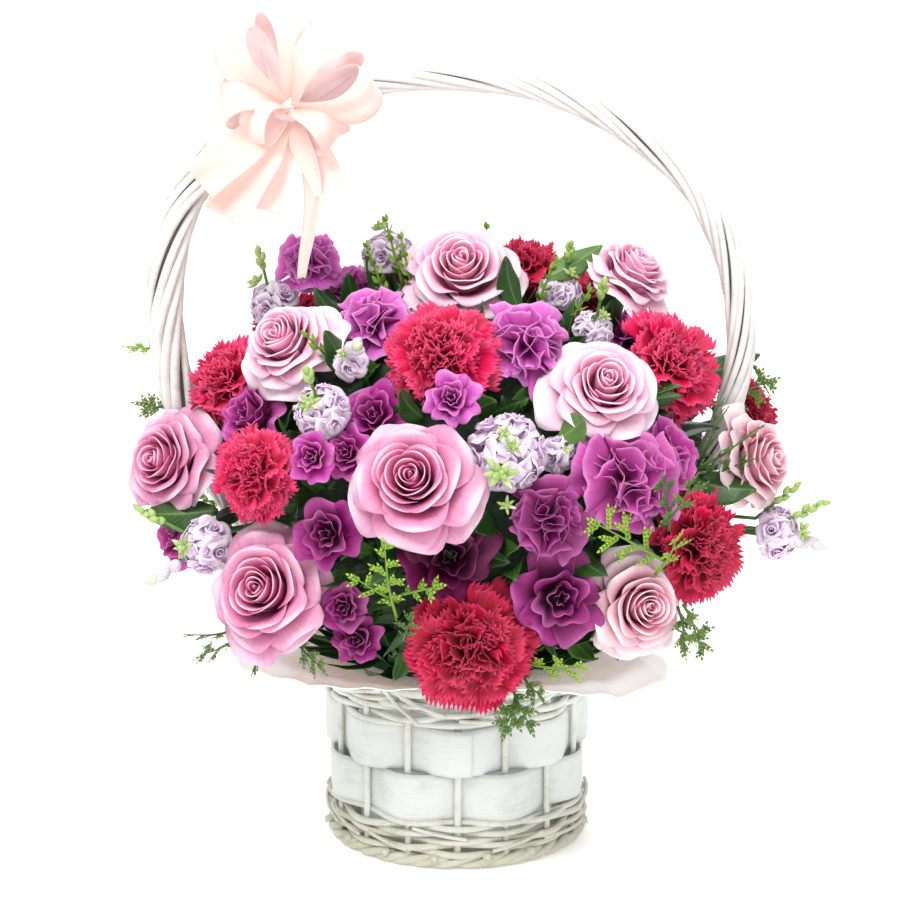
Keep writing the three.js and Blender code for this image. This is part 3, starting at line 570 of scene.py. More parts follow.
def leaf_material(name, dark, middle, light, roughness):
    """Leaves: darker and lighter ones, a pale midrib and side veins, gloss on top."""
    m = Nodes(
        name, Subsurface_Weight=0.1, Subsurface_Scale=0.002, Subsurface_Radius=(0.5, 1.0, 0.2),
        Coat_Weight=0.1,
    )
    v, u, chance, _ = m.tag()
    base = m.ramp(chance, [(0.0, dark), (0.55, middle), (1.0, light)])
    patch = m.noise(m.place(), 90.0)
    base = m.mix(m.times(patch, 0.5), base, m.mix(0.6, base, colour(dark)))
    across = m.math("ABSOLUTE", u)
    rib = m.ramp(across, [(0.0, WHITE), (0.12, BLACK)])
    slant = m.plus(m.times(v, 11.0), m.times(across, -3.5))
    vein = m.math("ABSOLUTE", m.minus(m.math("FRACT", slant), 0.5))
    veins = m.ramp(vein, [(0.0, WHITE), (0.1, BLACK)])
    lines = m.math("MAXIMUM", rib, m.times(veins, 0.5))
    base = m.mix(m.times(lines, 0.45), base, m.mix(0.5, base, colour("b9cf8a")))
    return m.paint(base, m.bump(lines, 0.4, 0.0005), m.spread(patch, roughness - 0.08, roughness + 0.15))


def satin_material():
    """Blush satin: fine threads along the ribbon, a soft sheen, a peach underside that partly paints the
    shade inside the loops, and a faint peach glow that is painted light.
    """
    # The faint emission is a painted glow that lifts the satin's shade.
    m = Nodes(
        "blush_satin", Sheen_Weight=0.4, Sheen_Roughness=0.3, Anisotropic=0.5, Specular_IOR_Level=0.6,
        Subsurface_Weight=0.15, Subsurface_Scale=0.004, Emission_Color=(1.0, 0.85, 0.82, 1.0),
        Emission_Strength=0.05,
    )
    v, u, chance, layer = m.tag()
    threads = m.noise(m.combine(m.times(u, 60.0), m.times(v, 6.0), chance), 1.0)
    wash = m.noise(m.place(), 22.0)
    base = m.ramp(wash, [(0.3, "f3d8d9"), (0.55, "f7e4e5"), (0.8, "fbf0f0")])
    # The back face is peach: partly the ribbon's duller back, partly painted shade inside the loops.
    under = m.ramp(layer, [(0.4, WHITE), (0.6, BLACK)])
    base = m.mix(m.times(under, 0.85), base, m.ramp(wash, [(0.3, "edbcae"), (0.7, "f3d2c8")]))
    rim = m.ramp(m.math("ABSOLUTE", u), [(0.9, BLACK), (1.0, WHITE)])
    base = m.mix(m.times(rim, 0.4), base, colour("eec4ba"))
    return m.paint(base, m.bump(threads, 0.25, 0.0003), m.spread(threads, 0.24, 0.42))


def liner_material():
    """Soft non-woven cloth, almost white, with a faint painted glow that lifts its shade."""
    # The white emission is painted light that brightens the cloth in the dome's shade.
    m = Nodes(
        "liner_cloth", Roughness=0.75, Sheen_Weight=0.25, Subsurface_Weight=0.4, Subsurface_Scale=0.01,
        Emission_Color=(1, 1, 1, 1), Emission_Strength=0.16,
    )
    fibres = m.noise(m.place(), 700.0, 5.0, 0.7)
    base = m.ramp(m.noise(m.place(), 16.0), [(0.3, "fafafc"), (0.7, WHITE)])
    base = m.mix(0.2, base, m.mix(fibres, base, colour("f0eef2")))
    return m.paint(base, m.bump(m.plus(fibres, m.cells(520.0)), 0.3, 0.0004))


# ----------------------------------------------------------------------------------------
# Where blooms stand and look
# ----------------------------------------------------------------------------------------

def facing(name, middle):
    """The way that a bloom looks, as in the solids."""
    if name in TURNED:
        azimuth, height = np.radians(TURNED[name])
        return level(azimuth) * math.cos(height) + np.array([0, 0, math.sin(height)])
    x, y, z = middle
    above = z - DOME["height"]
    lift = above * (0.6 if above > 0 else 0.1) / DOME["rise"] ** 2 + 0.0004
    return unit(np.array([x / DOME["wide"] ** 2, y / DOME["deep"] ** 2, lift]))


# How much a bloom is filled out past the radius in the table, by its name or else its kind.
SWELL = dict(
    rose=1.05, rose_01=0.94, carnation=1.02, carnation_01=0.98, carnation_03=0.96, carnation_04=0.92,
    purple=1.12, purple_02=0.99, purple_03=0.94, purple_04=0.99, purple_05=0.98, purple_11=0.97, stock=1.3,
)
VIEWER = (0.0, -0.96, 0.28)


# Blooms in front of this y turn towards the viewer by this share.
FRONT_Y, TO_VIEWER = 50, 0.42


class Head:
    """One head: where it stands, the way it looks and its size."""

    def __init__(self, name, spot, rng):
        self.name = name
        self.kind = name.split("_")[0]
        self.middle = np.array(spot[:3], float)
        self.radius = spot[3] * SWELL.get(name, SWELL[self.kind])
        self.axis = facing(name, self.middle)
        if self.middle[1] < FRONT_Y and name not in TURNED:
            self.axis = unit(self.axis + TO_VIEWER * np.array(VIEWER))
        self.foot = self.middle - self.axis * HEIGHTS[self.kind] * spot[3] / 2
        self.frame = basis(self.axis, rng.uniform(0, TAU))

    def place(self, points):
        """Points round a bloom's own axis, put where it stands."""
        return points @ self.frame.T + self.foot


def towards(point, share):
    """The place at a share of the way from the dome's middle to a point."""
    centre = np.array([0, 0, DOME["height"]])
    return centre + (np.asarray(point, float) - centre) * share


# ----------------------------------------------------------------------------------------
# Blooms
# ----------------------------------------------------------------------------------------

# A rose's whorls from the heart out: petals, rim's radius and height, half width in degrees, flare, roll.
WHORLS = [
    (1, 0.03, 1.0, 170, 0.0, 0.0), (2, 0.085, 1.05, 125, 0.05, 0.012), (2, 0.15, 1.07, 115, 0.1, 0.02),
    (3, 0.23, 1.07, 86, 0.16, 0.03), (3, 0.33, 1.05, 82, 0.28, 0.045), (4, 0.44, 0.99, 66, 0.45, 0.07),
    (4, 0.56, 0.91, 66, 0.62, 0.1), (4, 0.68, 0.79, 64, 0.78, 0.13), (5, 0.8, 0.62, 56, 0.9, 0.16),
    (5, 0.91, 0.41, 56, 1.0, 0.18),
]


# The same of a small cupped purple bloom with few broad petals.
CUP = [
    (3, 0.13, 0.8, 62, 0.2, 0.02), (3, 0.32, 0.92, 66, 0.3, 0.05), (4, 0.56, 0.84, 58, 0.5, 0.09),
    (5, 0.92, 0.5, 50, 0.95, 0.13),
]
# The purple blooms that are cupped; the rest are frilled.
CUPPED = (
    "purple_04", "purple_05", "purple_07", "purple_08", "purple_09", "purple_10", "purple_12", "purple_14",
)
# The same of one floret of a stock.
FLORET = [
    (1, 0.06, 0.7, 150, 0.1, 0.02), (2, 0.2, 0.72, 100, 0.4, 0.06), (3, 0.46, 0.66, 68, 0.7, 0.12),
    (4, 0.92, 0.36, 52, 1.0, 0.16),
]


def rose(soup, head, rng):
    """A tight heart in whorls of petals."""
    radius = head.radius
    heart = head.place(np.array([0, 0, 0.78 * radius]))
    soup.ball(heart, head.axis, 0.06 * radius, 0.5 * radius, (0.3, 0, 0.5, 0.0))
    whorled(soup, head.place, radius, rng, WHORLS, 19, 18)


def whorled(soup, place, radius, rng, whorls, columns, rows, pointed=1.0, wavy=1.0, ruffled=0.0):
    """Whorls of petals: wound tight in the middle, broad ones with rolled rims outside."""
    u, v = grid(columns, rows)
    for w, (count, rim, top, half, flare, roll) in enumerate(whorls):
        start = w * 1.9 + rng.uniform(0, TAU)
        for k in range(count):
            azimuth = start + k / count * TAU + rng.normal(0, 0.06 + 0.08 * flare)
            wide = math.radians(half) * rng.uniform(0.94, 1.05)
            rim_r = radius * rim * rng.uniform(0.95, 1.05)
            rim_z = radius * (top + rng.uniform(-1, 1) * (0.02 + 0.04 * flare))
            # The way up the petal, less at its sides and more at its point
            point = np.exp(-(u / rng.uniform(0.2, 0.32)) ** 2)
            h = v * (1 - 0.26 * np.abs(u) ** 1.9 + pointed * rng.uniform(0.05, 0.17) * flare * point)
            r = cubic(0.05 * radius, radius * (0.1 + 0.5 * rim), rim_r * (1 - 0.3 * flare), rim_r, h)
            below = rim_z - radius * (0.24 - 0.12 * flare)
            z = cubic(0.03 * radius, radius * (0.22 - 0.1 * rim), below, rim_z, h)
            # The rim rolls out, most beside the point
            curl = smooth(h, 0.66, 1.04)
            beside = np.exp(-((np.abs(u) - 0.55) / 0.3) ** 2)
            lip = radius * roll * (0.65 + 1.15 * flare * beside) * rng.uniform(0.85, 1.15)
            r = (r + lip * curl) * (1 + 0.085 * u)
            z = z - lip * (0.35 * curl + 0.75 * curl ** 3)
            angle = azimuth + u * wide * (0.3 + 0.7 * np.sin(np.minimum(1, v * 1.6) * math.pi / 2))
            # Waves, and ruffles on the petals that have them
            wave, wave2 = rng.uniform(0, TAU, 2)
            z = z + radius * 0.02 * wavy * flare * v ** 3 * np.sin(3.4 * u + wave)
            r = r + radius * 0.016 * wavy * flare * v ** 3 * np.sin(4.3 * u + wave2)
            if ruffled:
                deep = radius * ruffled * (0.35 + 0.9 * rim)
                r = r + deep * v ** 1.6 * np.sin(rng.uniform(4.5, 8) * u + rng.uniform(0, TAU))
                z = z + deep * v ** 3 * np.sin(rng.uniform(5, 9) * u + rng.uniform(0, TAU))
            points = around(angle, r, z)
            points[..., :2] += rng.normal(0, radius * (0.008 + 0.035 * flare), 2) * v[..., None]
            tags = stack(h, u, rng.uniform(), rim / 0.88)
            soup.sheet(place(points), tags, max(0.018 * radius, 0.4), 0.6)


# Frilled blooms: petals and each one's grid, waves across it and their depth, teeth, the widest tilt in
# degrees, width, twist, how calm the waves are (at the heart, and less outside), how far the heart's petals
# bend inward, and how uneven the outline is.
FRILLED = {
    "carnation": dict(
        petals=42, columns=37, rows=10, waves=1.9, frill=0.14, teeth=0.055, tilt=84, width=0.8, twist=0.7,
        calm=(1.5, 1.05), inward=0.15, uneven=0.05,
    ),
    "purple": dict(
        petals=20, columns=25, rows=11, waves=1.2, frill=0.13, teeth=0.022, tilt=86, width=0.9, twist=0.35,
        calm=(2.0, 1.5), inward=0.42, uneven=0.1,
    ),
}
# Small heads have fewer petals, and large purple ones more.
SMALL_HEAD, LARGE_HEAD = 16, 28
LEAST_TILT = 5


def to_dome(tilt, radius):
    """How long a petal is at a tilt, to a rounded outline that is flatter than wide."""
    a, b, c = 0.97 * radius, 0.63 * radius, 0.2 * radius
    da, dz = math.sin(tilt) / a, math.cos(tilt) / b
    p, q, w = da * da + dz * dz, dz * c / b, (c / b) ** 2 - 1
    return (q + math.sqrt(max(q * q - p * w, 0))) / p


def frilled(soup, place, radius, rng, kind):
    """Fans of ruffled petals on narrow claws, from upright in the middle to flat outside."""
    look = FRILLED[kind]
    count, columns, waves, frill = look["petals"], look["columns"], look["waves"], look["frill"] * radius
    if radius < SMALL_HEAD:
        count = int(count * 0.6)
    elif radius > LARGE_HEAD and kind == "purple":
        count = int(count * 1.3)
    u, v = grid(columns, look["rows"])
    zigzag = np.where(np.arange(columns) % 2, 1.0, -1.0)[None, :] if kind == "carnation" else np.sin(u * 13)
    lobe = rng.uniform(0, TAU, 2)
    for k in range(count):
        t = (k + 0.5) / count
        tilt = math.radians(LEAST_TILT + (look["tilt"] - LEAST_TILT) * t ** 0.7 + rng.normal(0, 4))
        azimuth = k * GOLDEN + rng.normal(0, 0.15)
        out, along = level(azimuth), leaning(tilt, azimuth)
        side = np.array([-math.sin(azimuth), math.cos(azimuth), 0])
        twist = rng.normal(0, look["twist"] * (1 - t) + 0.12)
        side, normal = turned(side, np.cross(side, along), twist)
        length = to_dome(tilt, radius) * rng.uniform(0.85, 1.08) * (0.84 + 0.16 * smooth(t, 0.25, 0.7))
        lobes = math.sin(2 * azimuth + lobe[0]) + math.sin(3 * azimuth + lobe[1]) - 0.4
        length *= 1 + look["uneven"] * t * lobes
        edge = 1 - 0.16 * u ** 2 + 0.04 * np.sin(u * 5 + rng.uniform(0, TAU))
        bite = look["teeth"] * zigzag * rng.uniform(0.4, 1.7, (1, columns))
        reach = length * (v * edge + bite * smooth(v, 0.74, 1.0) * radius / length)
        spread = (0.07 + look["width"] * smooth(v, 0.08, 1.0) ** 1.1) * length * (0.75 + 0.35 * (1 - t))
        phase, phase2 = rng.uniform(0, TAU, 2)
        calm = look["calm"][0] - look["calm"][1] * t
        ruffle = frill * calm * v ** 1.8 * np.sin(u * waves * math.pi * rng.uniform(0.85, 1.2) + phase)
        ruffle = ruffle + 0.27 * frill * v ** 3 * np.sin(u * waves * 2.7 * math.pi + phase2)
        bend = 0.16 * length * v ** 2.2 * (0.3 + t)
        inward = look["inward"] * length * v ** 2 * max(0.0, 1 - t / 0.5)
        points = np.array([0, 0, 0.1 * radius]) + along * reach[..., None] + side * (u * spread)[..., None]
        points = points + normal * ruffle[..., None] - out * inward[..., None]
        points = points + (out * 0.6 - np.array([0, 0, 0.8])) * bend[..., None]
        soup.sheet(place(points), stack(v, u, rng.uniform(), t), max(0.016 * radius, 0.35), 0.5)


# A star's buds: how many, their tilt in degrees and how long they are.
STAR = ((6, 72, 1.0), (4, 36, 0.8), (1, 0, 0.7))


def bud_star(soup, middle, axis, size, rng):
    """A rosette of long green buds that stand out from one point."""
    local = basis(axis, rng.uniform(0, TAU))
    for count, tilt, reach in STAR:
        for k in range(count):
            azimuth = k / count * TAU + tilt + rng.normal(0, 0.15)
            way = local @ leaning(math.radians(tilt + rng.normal(0, 6)), azimuth)
            long = size * reach * rng.uniform(0.8, 1.1)
            tone = np.clip(rng.normal(0.45, 0.15), 0, 0.75)
            soup.ball(middle + way * long * 0.5, way, 0.17 * size, long, even(tone), 9, 8)


# A stock's rings of florets: how many, the ring's radius and height, tilt in degrees and the florets' size.
STOCK_RINGS = [(6, 0.62, 0.3, 68, 0.46), (3, 0.3, 0.56, 32, 0.46)]
SMALL_STOCK_RINGS = [(4, 0.44, 0.4, 52, 0.58)]
SMALL_STOCK = 18


def stock_head(petals, buds, head, rng):
    """Double florets with waved petals, in rings round a star of green buds."""
    radius = head.radius
    for n, (count, r, z, tilt, size) in enumerate(STOCK_RINGS if radius > SMALL_STOCK else SMALL_STOCK_RINGS):
        for k in range(count):
            azimuth = k / count * TAU + n * 1.05 + rng.normal(0, 0.12)
            axis = leaning(math.radians(tilt), azimuth)
            spot = level(azimuth) * (r * radius) + np.array([0, 0, z * radius]) - axis * size * radius * 0.5
            local = basis(axis, rng.uniform(0, TAU))

            def place(points):
                return head.place(points @ local.T + spot)

            whorled(petals, place, size * radius, rng, FLORET, 11, 9, 0.0, 3.5)
    star = 0.22 if head.name == "stock_02" else 0.36
    bud_star(buds, head.place(np.array([0, 0, 0.9 * radius])), head.axis, star * radius, rng)


# Where a stem starts, as a share of the way from the dome's middle to its bloom.
STEM_START = 0.55
# A calyx from below: its height and radius.
CALYX = np.array([(-0.5, 0.35), (-0.2, 0.8), (0.3, 1.0), (0.8, 0.95), (1.0, 0.8)])


def calyx_and_stem(soup, head, rng):
    """A green cup under the head, on a stem that goes into the core; a rose has sepals too."""
    radius, axis, foot, is_rose = head.radius, head.axis, head.foot, head.kind == "rose"
    root = towards(head.middle, STEM_START)
    neck = foot - axis * 7
    line = cubic(root, root * 0.6 + neck * 0.4, neck - axis * 6, foot, np.linspace(0, 1, 8)[:, None])
    soup.tube(line, np.linspace(2.3, 1.8, 8), 7, (0.3, 0.2, 0.93), green(0.45))
    cup = radius * (0.2 if is_rose else 0.17)
    height = radius * (0.16 if is_rose else 0.15)
    z, r = CALYX[:, :1] * height, CALYX[:, 1:] * cup
    soup.rings(head.place(around(circle(10), r, z)), green(0.5))
    if not is_rose:
        return
    for k in range(5):
        out = head.frame @ level(k / 5 * TAU + 0.4)
        tip = foot + out * radius * 0.62 - axis * radius * rng.uniform(-0.02, 0.12)
        leaf(soup, foot + out * cup * 0.6, tip, np.cross(axis, out), 0.2 * radius, 0.35, 0.1)


# ----------------------------------------------------------------------------------------
# Greens
# ----------------------------------------------------------------------------------------

def leaf(soup, root, tip, side, width, chance, arch, columns=7, rows=9):
    """A leaf blade from root to tip, folded a little along its midrib."""
    root, tip = np.asarray(root, float), np.asarray(tip, float)
    spine = tip - root
    length = np.linalg.norm(spine)
    side = unit(side - spine * np.dot(side, spine) / length ** 2)
    up = unit(np.cross(spine, side))
    u, v = grid(columns, rows)
    widest = 0.42
    power = math.log(0.5) / math.log(widest)
    half = width / 2 * (0.06 + 0.94 * np.sin(math.pi * np.clip(v, 0.001, 0.999) ** power) ** 0.9)
    lift = arch * length * np.sin(math.pi * v) + 0.28 * np.abs(u) * half
    lift = lift + 0.03 * width * np.sin(v * 14 + u * 2 + chance * 9) * np.abs(u)
    points = root + spine * v[..., None] + side * (u * half)[..., None] + up * lift[..., None]
    soup.sheet(points, stack(v, u, chance, 0.5), 0.55, 0.6)


def scale(soup, base, along, side, length, width, chance):
    """One flat scale leaf of a cedar branchlet, a long lozenge."""
    up = np.cross(along, side)
    mid = base + along * length * 0.45
    points = np.stack([
        base, mid + side * width / 2, mid + up * width * 0.2, mid - side * width / 2, mid - up * width * 0.2,
        base + along * length,
    ])
    tris = np.array([(0, 2, 1), (0, 3, 2), (0, 4, 3), (0, 1, 4), (5, 1, 2), (5, 2, 3), (5, 3, 4), (5, 4, 1)])
    soup.add(points, green(chance), np.zeros((0, 4), int), tris)


SCALE_STEP = 2.6


def twig(soup, start, way, up, reach, light, rng):
    """Overlapping scales in line, each pair a little spread."""
    flat = np.cross(up, way)
    steps = max(1, round(reach / SCALE_STEP))
    for step in range(steps):
        share = step / steps
        for hand in (-1, 1):
            aim = unit(way + flat * hand * 0.5)
            tone = np.clip(light + rng.normal(0, 0.12) + 0.25 * share - 0.1, 0, 1)
            base = start + way * SCALE_STEP * step
            scale(soup, base, aim, np.cross(up, aim), 4.4 * (1 - 0.2 * share), 2.1, tone)
    scale(soup, start + way * SCALE_STEP * steps, way, flat, 3.6, 2.0, np.clip(light + 0.2, 0, 1))


def cedar(soup, root, tip, width, rng, light):
    """A flat open spray: a rachis, alternate branchlets and on them short twigs of scale leaves."""
    root, tip = np.asarray(root, float), np.asarray(tip, float)
    spine = tip - root
    length = np.linalg.norm(spine)
    axis = spine / length
    out = (root + tip) / 2 - np.array([0, 0, DOME["height"]]) + rng.normal(0, 20, 3)
    side = unit(np.cross(axis, out))
    up = np.cross(side, axis)

    def along(t):
        return root + spine * t + up * 0.06 * length * math.sin(math.pi * t)

    line = [along(t) for t in np.linspace(0, 1, 9)]
    soup.tube(line, np.linspace(1.1, 0.4, 9), 5, side, green(light * 0.5))
    count = max(5, int(length / 7))
    for i in range(count):
        t = 0.2 + 0.78 * i / (count - 1)
        hand = 1 if i % 2 else -1
        reach = width * 0.66 * math.sin(math.pi * (0.14 + 0.8 * (1 - t) ** 0.8)) * rng.uniform(0.8, 1.15)
        way = unit(axis * rng.uniform(0.6, 0.85) + side * hand + up * rng.normal(0, 0.14))
        start = along(t)
        twig(soup, start, way, up, reach, light, rng)
        flat = np.cross(up, way)
        for j, share in enumerate((0.32, 0.62)):
            if reach > 6 and rng.uniform() < 0.7:
                other = 1 if (i + j) % 2 else -1
                aim = unit(way + flat * other * 0.95 + up * rng.normal(0, 0.08))
                twig(soup, start + way * reach * share, aim, up, reach * (0.52 - 0.25 * share), light, rng)
    twig(soup, along(0.96), axis, up, 9, light, rng)


def sprig(soup, root, tip, rng):
    """A thin twig with pairs of small oval leaves, tight at its tip."""
    root, tip = np.asarray(root, float), np.asarray(tip, float)
    spine = tip - root
    length = np.linalg.norm(spine)
    axis = spine / length
    local = basis(axis)
    line = [root + spine * t for t in np.linspace(0, 1, 6)]
    soup.tube(line, np.linspace(1.2, 0.6, 6), 5, local[:, 0], green(0.35))
    count = int(length / 5.5)
    for i in range(2, count):
        t = i / (count - 0.5)
        for hand in (0, math.pi):
            way = unit(local @ level(hand + i * 1.3) * 0.85 + axis * (0.5 + 0.8 * t))
            start = root + spine * t
            grow = 9 * (1.05 - 0.45 * t)
            tone = np.clip(0.5 + rng.normal(0, 0.12), 0, 1)
            leaf(soup, start, start + way * grow, np.cross(way, axis), grow * 0.55, tone, 0.05, 5, 6)


# Cedar sprays that the photograph shows: root, tip, width, lightness.
SPRAYS = [
    ((-36, -160, 189), (-42, -191, 240), 14, 0.75),
    ((-35, -162, 199), (-58, -176, 216), 13, 0.7),
    ((-33, -164, 204), (-14, -178, 212), 11, 0.7),
    ((-32, -150, 172), (-28, -164, 188), 12, 0.35),
    ((125, -140, 217), (82, -158, 245), 26, 0.72),
    ((118, -138, 209), (129, -150, 233), 16, 0.68),
    ((145, -62, 256), (182, -72, 283), 30, 0.3),
    ((149, -60, 256), (160, -70, 297), 26, 0.25),
    ((152, -58, 252), (177, -66, 262), 20, 0.3),
    ((122, -146, 242), (136, -160, 270), 22, 0.3),
    ((125, -144, 238), (120, -156, 268), 18, 0.25),
    ((136, -128, 188), (144, -140, 169), 20, 0.5),
    ((133, -126, 186), (136, -138, 165), 16, 0.45),
    ((40, -140, 155), (71, -150, 155), 20, 0.8),
    ((38, -142, 150), (48, -154, 140), 18, 0.35),
    ((35, -146, 137), (29, -156, 120), 18, 0.35),
    ((33, -146, 140), (42, -154, 122), 12, 0.35),
    ((-133, -118, 170), (-159, -132, 170), 20, 0.45),
    ((-134, -116, 164), (-153, -128, 157), 18, 0.4),
    ((-119, -120, 157), (-122, -130, 151), 14, 0.35),
    ((-98, -128, 166), (-84, -138, 153), 16, 0.4),
    ((-188, 0, 321), (-206, 0, 323), 12, 0.6),
    ((-188, 0, 284), (-201, 0, 286), 12, 0.55),
    ((192, 10, 310), (199, 8, 298), 10, 0.5),
]
# Further ones round the back and sides: the tip, width and lightness.
CEDARS = [
    (-20, 178, 232, 40, 0.7), (46, 176, 206, 36, 0.5), (-118, 140, 190, 36, 0.5), (122, 138, 178, 34, 0.7),
    (-58, 128, 330, 30, 0.5), (90, 112, 318, 30, 0.7), (-182, 70, 226, 30, 0.4), (186, 74, 232, 30, 0.5),
    (202, 6, 300, 20, 0.5), (-204, 30, 214, 24, 0.6), (150, -112, 158, 26, 0.4), (-80, 170, 160, 30, 0.6),
]
# The tips of thin sprigs.
SPRIGS = [
    (-36, -12, 398), (-46, -2, 408), (-58, -8, 392), (84, -40, 368), (64, -10, 384), (-92, -96, 348),
    (20, 60, 396),
]
# Large single leaves: root, tip, width, lightness.
LEAVES = [
    ((58, 0, 369), (93, 4, 389), 17, 0.7), ((40, -30, 350), (30, -42, 388), 18, 0.3),
    ((146, -60, 250), (186, -72, 246), 24, 0.35), ((60, -130, 290), (74, -146, 306), 20, 0.75),
    ((60, -120, 230), (88, -160, 214), 22, 0.3), ((-60, -80, 320), (-80, -96, 350), 20, 0.3),
    ((-150, -60, 230), (-196, -76, 232), 22, 0.3), ((20, -130, 250), (10, -168, 244), 22, 0.25),
    ((-20, -120, 300), (-34, -140, 322), 18, 0.3), ((-66, 0, 330), (-92, 4, 362), 18, 0.25),
    ((-60, 8, 335), (-70, 0, 372), 18, 0.3), ((-84, 0, 325), (-112, -8, 352), 18, 0.2),
    ((-40, 20, 350), (-58, 16, 384), 16, 0.35), ((100, 20, 330), (104, 8, 362), 18, 0.25),
    ((150, 20, 300), (196, 6, 318), 22, 0.35),
]


def core_reach(azimuth, z):
    """How far the core reaches at a height, in a level direction."""
    rows = np.array(CORE, float)
    wide = np.interp(z, rows[:, 0], rows[:, 1])
    deep = np.interp(z, rows[:, 0], rows[:, 2])
    return 1 / math.sqrt((math.cos(azimuth) / wide) ** 2 + (math.sin(azimuth) / deep) ** 2)


def carpet_leaves(soup, rng):
    """Leaves that lie along the core's surface, so that no bare core shows between blooms."""
    for _ in range(520):
        azimuth = rng.uniform(0, TAU)
        z = rng.uniform(134, 342)
        share = rng.uniform(0.2, 1) ** 0.5 if z > 330 else 1.0
        reach = core_reach(azimuth, z) * 0.9 * share
        start = level(azimuth) * reach + np.array([0, 0, z])
        normal = unit(start - np.array([0, 0, DOME["height"]]))
        along = unit(np.cross(normal, rng.normal(0, 1, 3)))
        lean = unit(along + normal * rng.uniform(0.25, 0.7))
        tip = start + lean * rng.uniform(20, 30)
        if tip[2] < 130:
            continue
        width, tone = rng.uniform(13, 20), np.clip(rng.normal(0.2, 0.16), 0, 1)
        leaf(soup, start, tip, np.cross(lean, normal), width, tone, rng.uniform(0.05, 0.2))


def leafy_core(soup, rng):
    """The lumpy dark body that the leaves stand on, with a flat underside; its dark colour paints the shade
    between the leaves.
    """
    shoulder, top = 300, 348
    rings = []
    for z in np.linspace(130, top, 26):
        fade = math.sqrt(max(0.0, 1 - ((z - shoulder) / 50) ** 2)) if z > shoulder else 1.0
        ring = []
        for a in np.arange(64) / 64 * TAU:
            reach = core_reach(a, min(z, 338)) * (0.8 + 0.2 * fade) * (0.92 + 0.05 * rng.uniform())
            ring.append((reach * math.cos(a), reach * math.sin(a), z + rng.uniform(-2, 2)))
        rings.append(ring)
    rings[0] = [(x, y, 128.6) for x, y, _ in rings[0]]
    soup.rings(np.array(rings), even(0.5, 0.5))


def scatter_leaves(soup, heads, rng):
    """Dark leaves all over the core, turned every way, clear of the blooms' middles."""
    middles = np.array([head.middle for head in heads])
    radii = np.array([head.radius for head in heads])
    most, tries, placed = 640, 9000, 0
    for _ in range(tries):
        if placed == most:
            break
        azimuth = rng.uniform(0, TAU)
        sine = rng.uniform(-0.66, 1.0)
        cosine = math.sqrt(1 - sine * sine)
        sizes = np.array([DOME["wide"], DOME["deep"], DOME["rise"]])
        way = sizes * np.array([cosine * math.cos(azimuth), cosine * math.sin(azimuth), sine])
        start = np.array([0, 0, DOME["height"]]) + way * rng.uniform(0.62, 0.8)
        lean = unit(unit(way) + rng.normal(0, 0.5, 3))
        length = rng.uniform(22, 38)
        tip = start + lean * length
        at_handle = abs(tip[1]) < 14 and abs(math.hypot(tip[0], tip[2] - 300)) > 175
        at_collar = tip[2] < 129 or (tip[2] < 134 and math.hypot(tip[0], tip[1]) > 64)
        if at_handle or at_collar:
            continue
        spots = np.stack([start + lean * length * share for share in (0.5, 0.8, 1.0)])
        gap = np.linalg.norm(spots[:, None] - middles[None], axis=-1) - radii * 0.84
        if gap.min() < 1.5:
            continue
        side = unit(np.cross(lean, rng.normal(0, 1, 3)))
        width, tone = rng.uniform(12, 19), np.clip(rng.normal(0.26, 0.2), 0, 1)
        leaf(soup, start, tip, side, width, tone, rng.uniform(-0.1, 0.14))
        placed += 1


def collar_leaves(soup, rng):
    """Leaves at the foot of the dome that lie out over the collar."""
    count = 84
    for k in range(count):
        out = level(k / count * TAU + rng.normal(0, 0.04))
        start = out * rng.uniform(52, 66) + np.array([0, 0, rng.uniform(130, 144)])
        tip = out * rng.uniform(84, 112) + np.array([0, 0, rng.uniform(132, 152)])
        side = unit(np.cross(tip - start, rng.normal(0, 0.3, 3) + np.array(UP)))
        width, tone = rng.uniform(13, 18), np.clip(rng.normal(0.18, 0.15), 0, 1)
        leaf(soup, start, tip, side, width, tone, rng.uniform(0.0, 0.16))


# ----------------------------------------------------------------------------------------
# Basket, handle, liner and bow
# ----------------------------------------------------------------------------------------

def wicker_rows(soup, low, high, rows, rng, slack):
    """Single rods that go in front of every second stake and behind the rest."""
    pitch = (high - low) / rows
    a = circle(320)
    for k in range(rows):
        p1, p2, p3 = rng.uniform(0, TAU, 3)
        reach = CIRCLE + 3.0 * np.cos(8 * a + k * math.pi) + 0.35 * np.sin(3 * a + p1)
        sag = slack * (np.sin(2 * a + p2) + 0.6 * np.sin(5 * a + p3)) * pitch * 0.3
        thick = pitch * 0.6 * (1 + 0.08 * np.sin(a * 3 + p1))
        path = around(a, reach, low + (k + 0.5) * pitch + sag)
        soup.tube(path, thick, 8, UP, even(rng.uniform(0, 0.8)), closed=True)


# The base plate's outline from the middle of its underside: radius and height.
BASE = [(2, 0.0), (75.5, 0.0), (76.5, 1.0), (76.5, 6.4), (75.5, 7.0), (2, 7.0)]
# Loose strands in front, as in the photograph: the angle and height at each end, and the slack.
STRANDS = [
    (-2.16, -1.86, 118, 97, 1.5), (-2.05, -1.72, 116, 104, 0.8), (-1.3, -0.95, 112, 100, 0.8),
    (0.9, 1.3, 113, 99, 0.8),
]


def loose_strands(soup, rng):
    """Thin strands that slant across the rods, those of the table and more all round."""
    strands, count = list(STRANDS), 26
    for k in range(count):
        a = k / count * TAU + rng.uniform(0, 0.2)
        low, high = (97, 115) if k % 2 else (12, 29)
        z0 = rng.uniform(low, high)
        z1 = np.clip(z0 + rng.choice([-1, 1]) * rng.uniform(5, 10), low, high)
        strands.append((a, a + rng.uniform(0.3, 0.6), z0, z1, 0.5))
    t = np.linspace(0, 1, 24)
    for start, end, z0, z1, slack in strands:
        reach = CIRCLE + 4.3 + slack * np.sin(math.pi * t)
        soup.tube(around(start + (end - start) * t, reach, z0 + (z1 - z0) * t), 1.25, 7, UP, even(0.3))


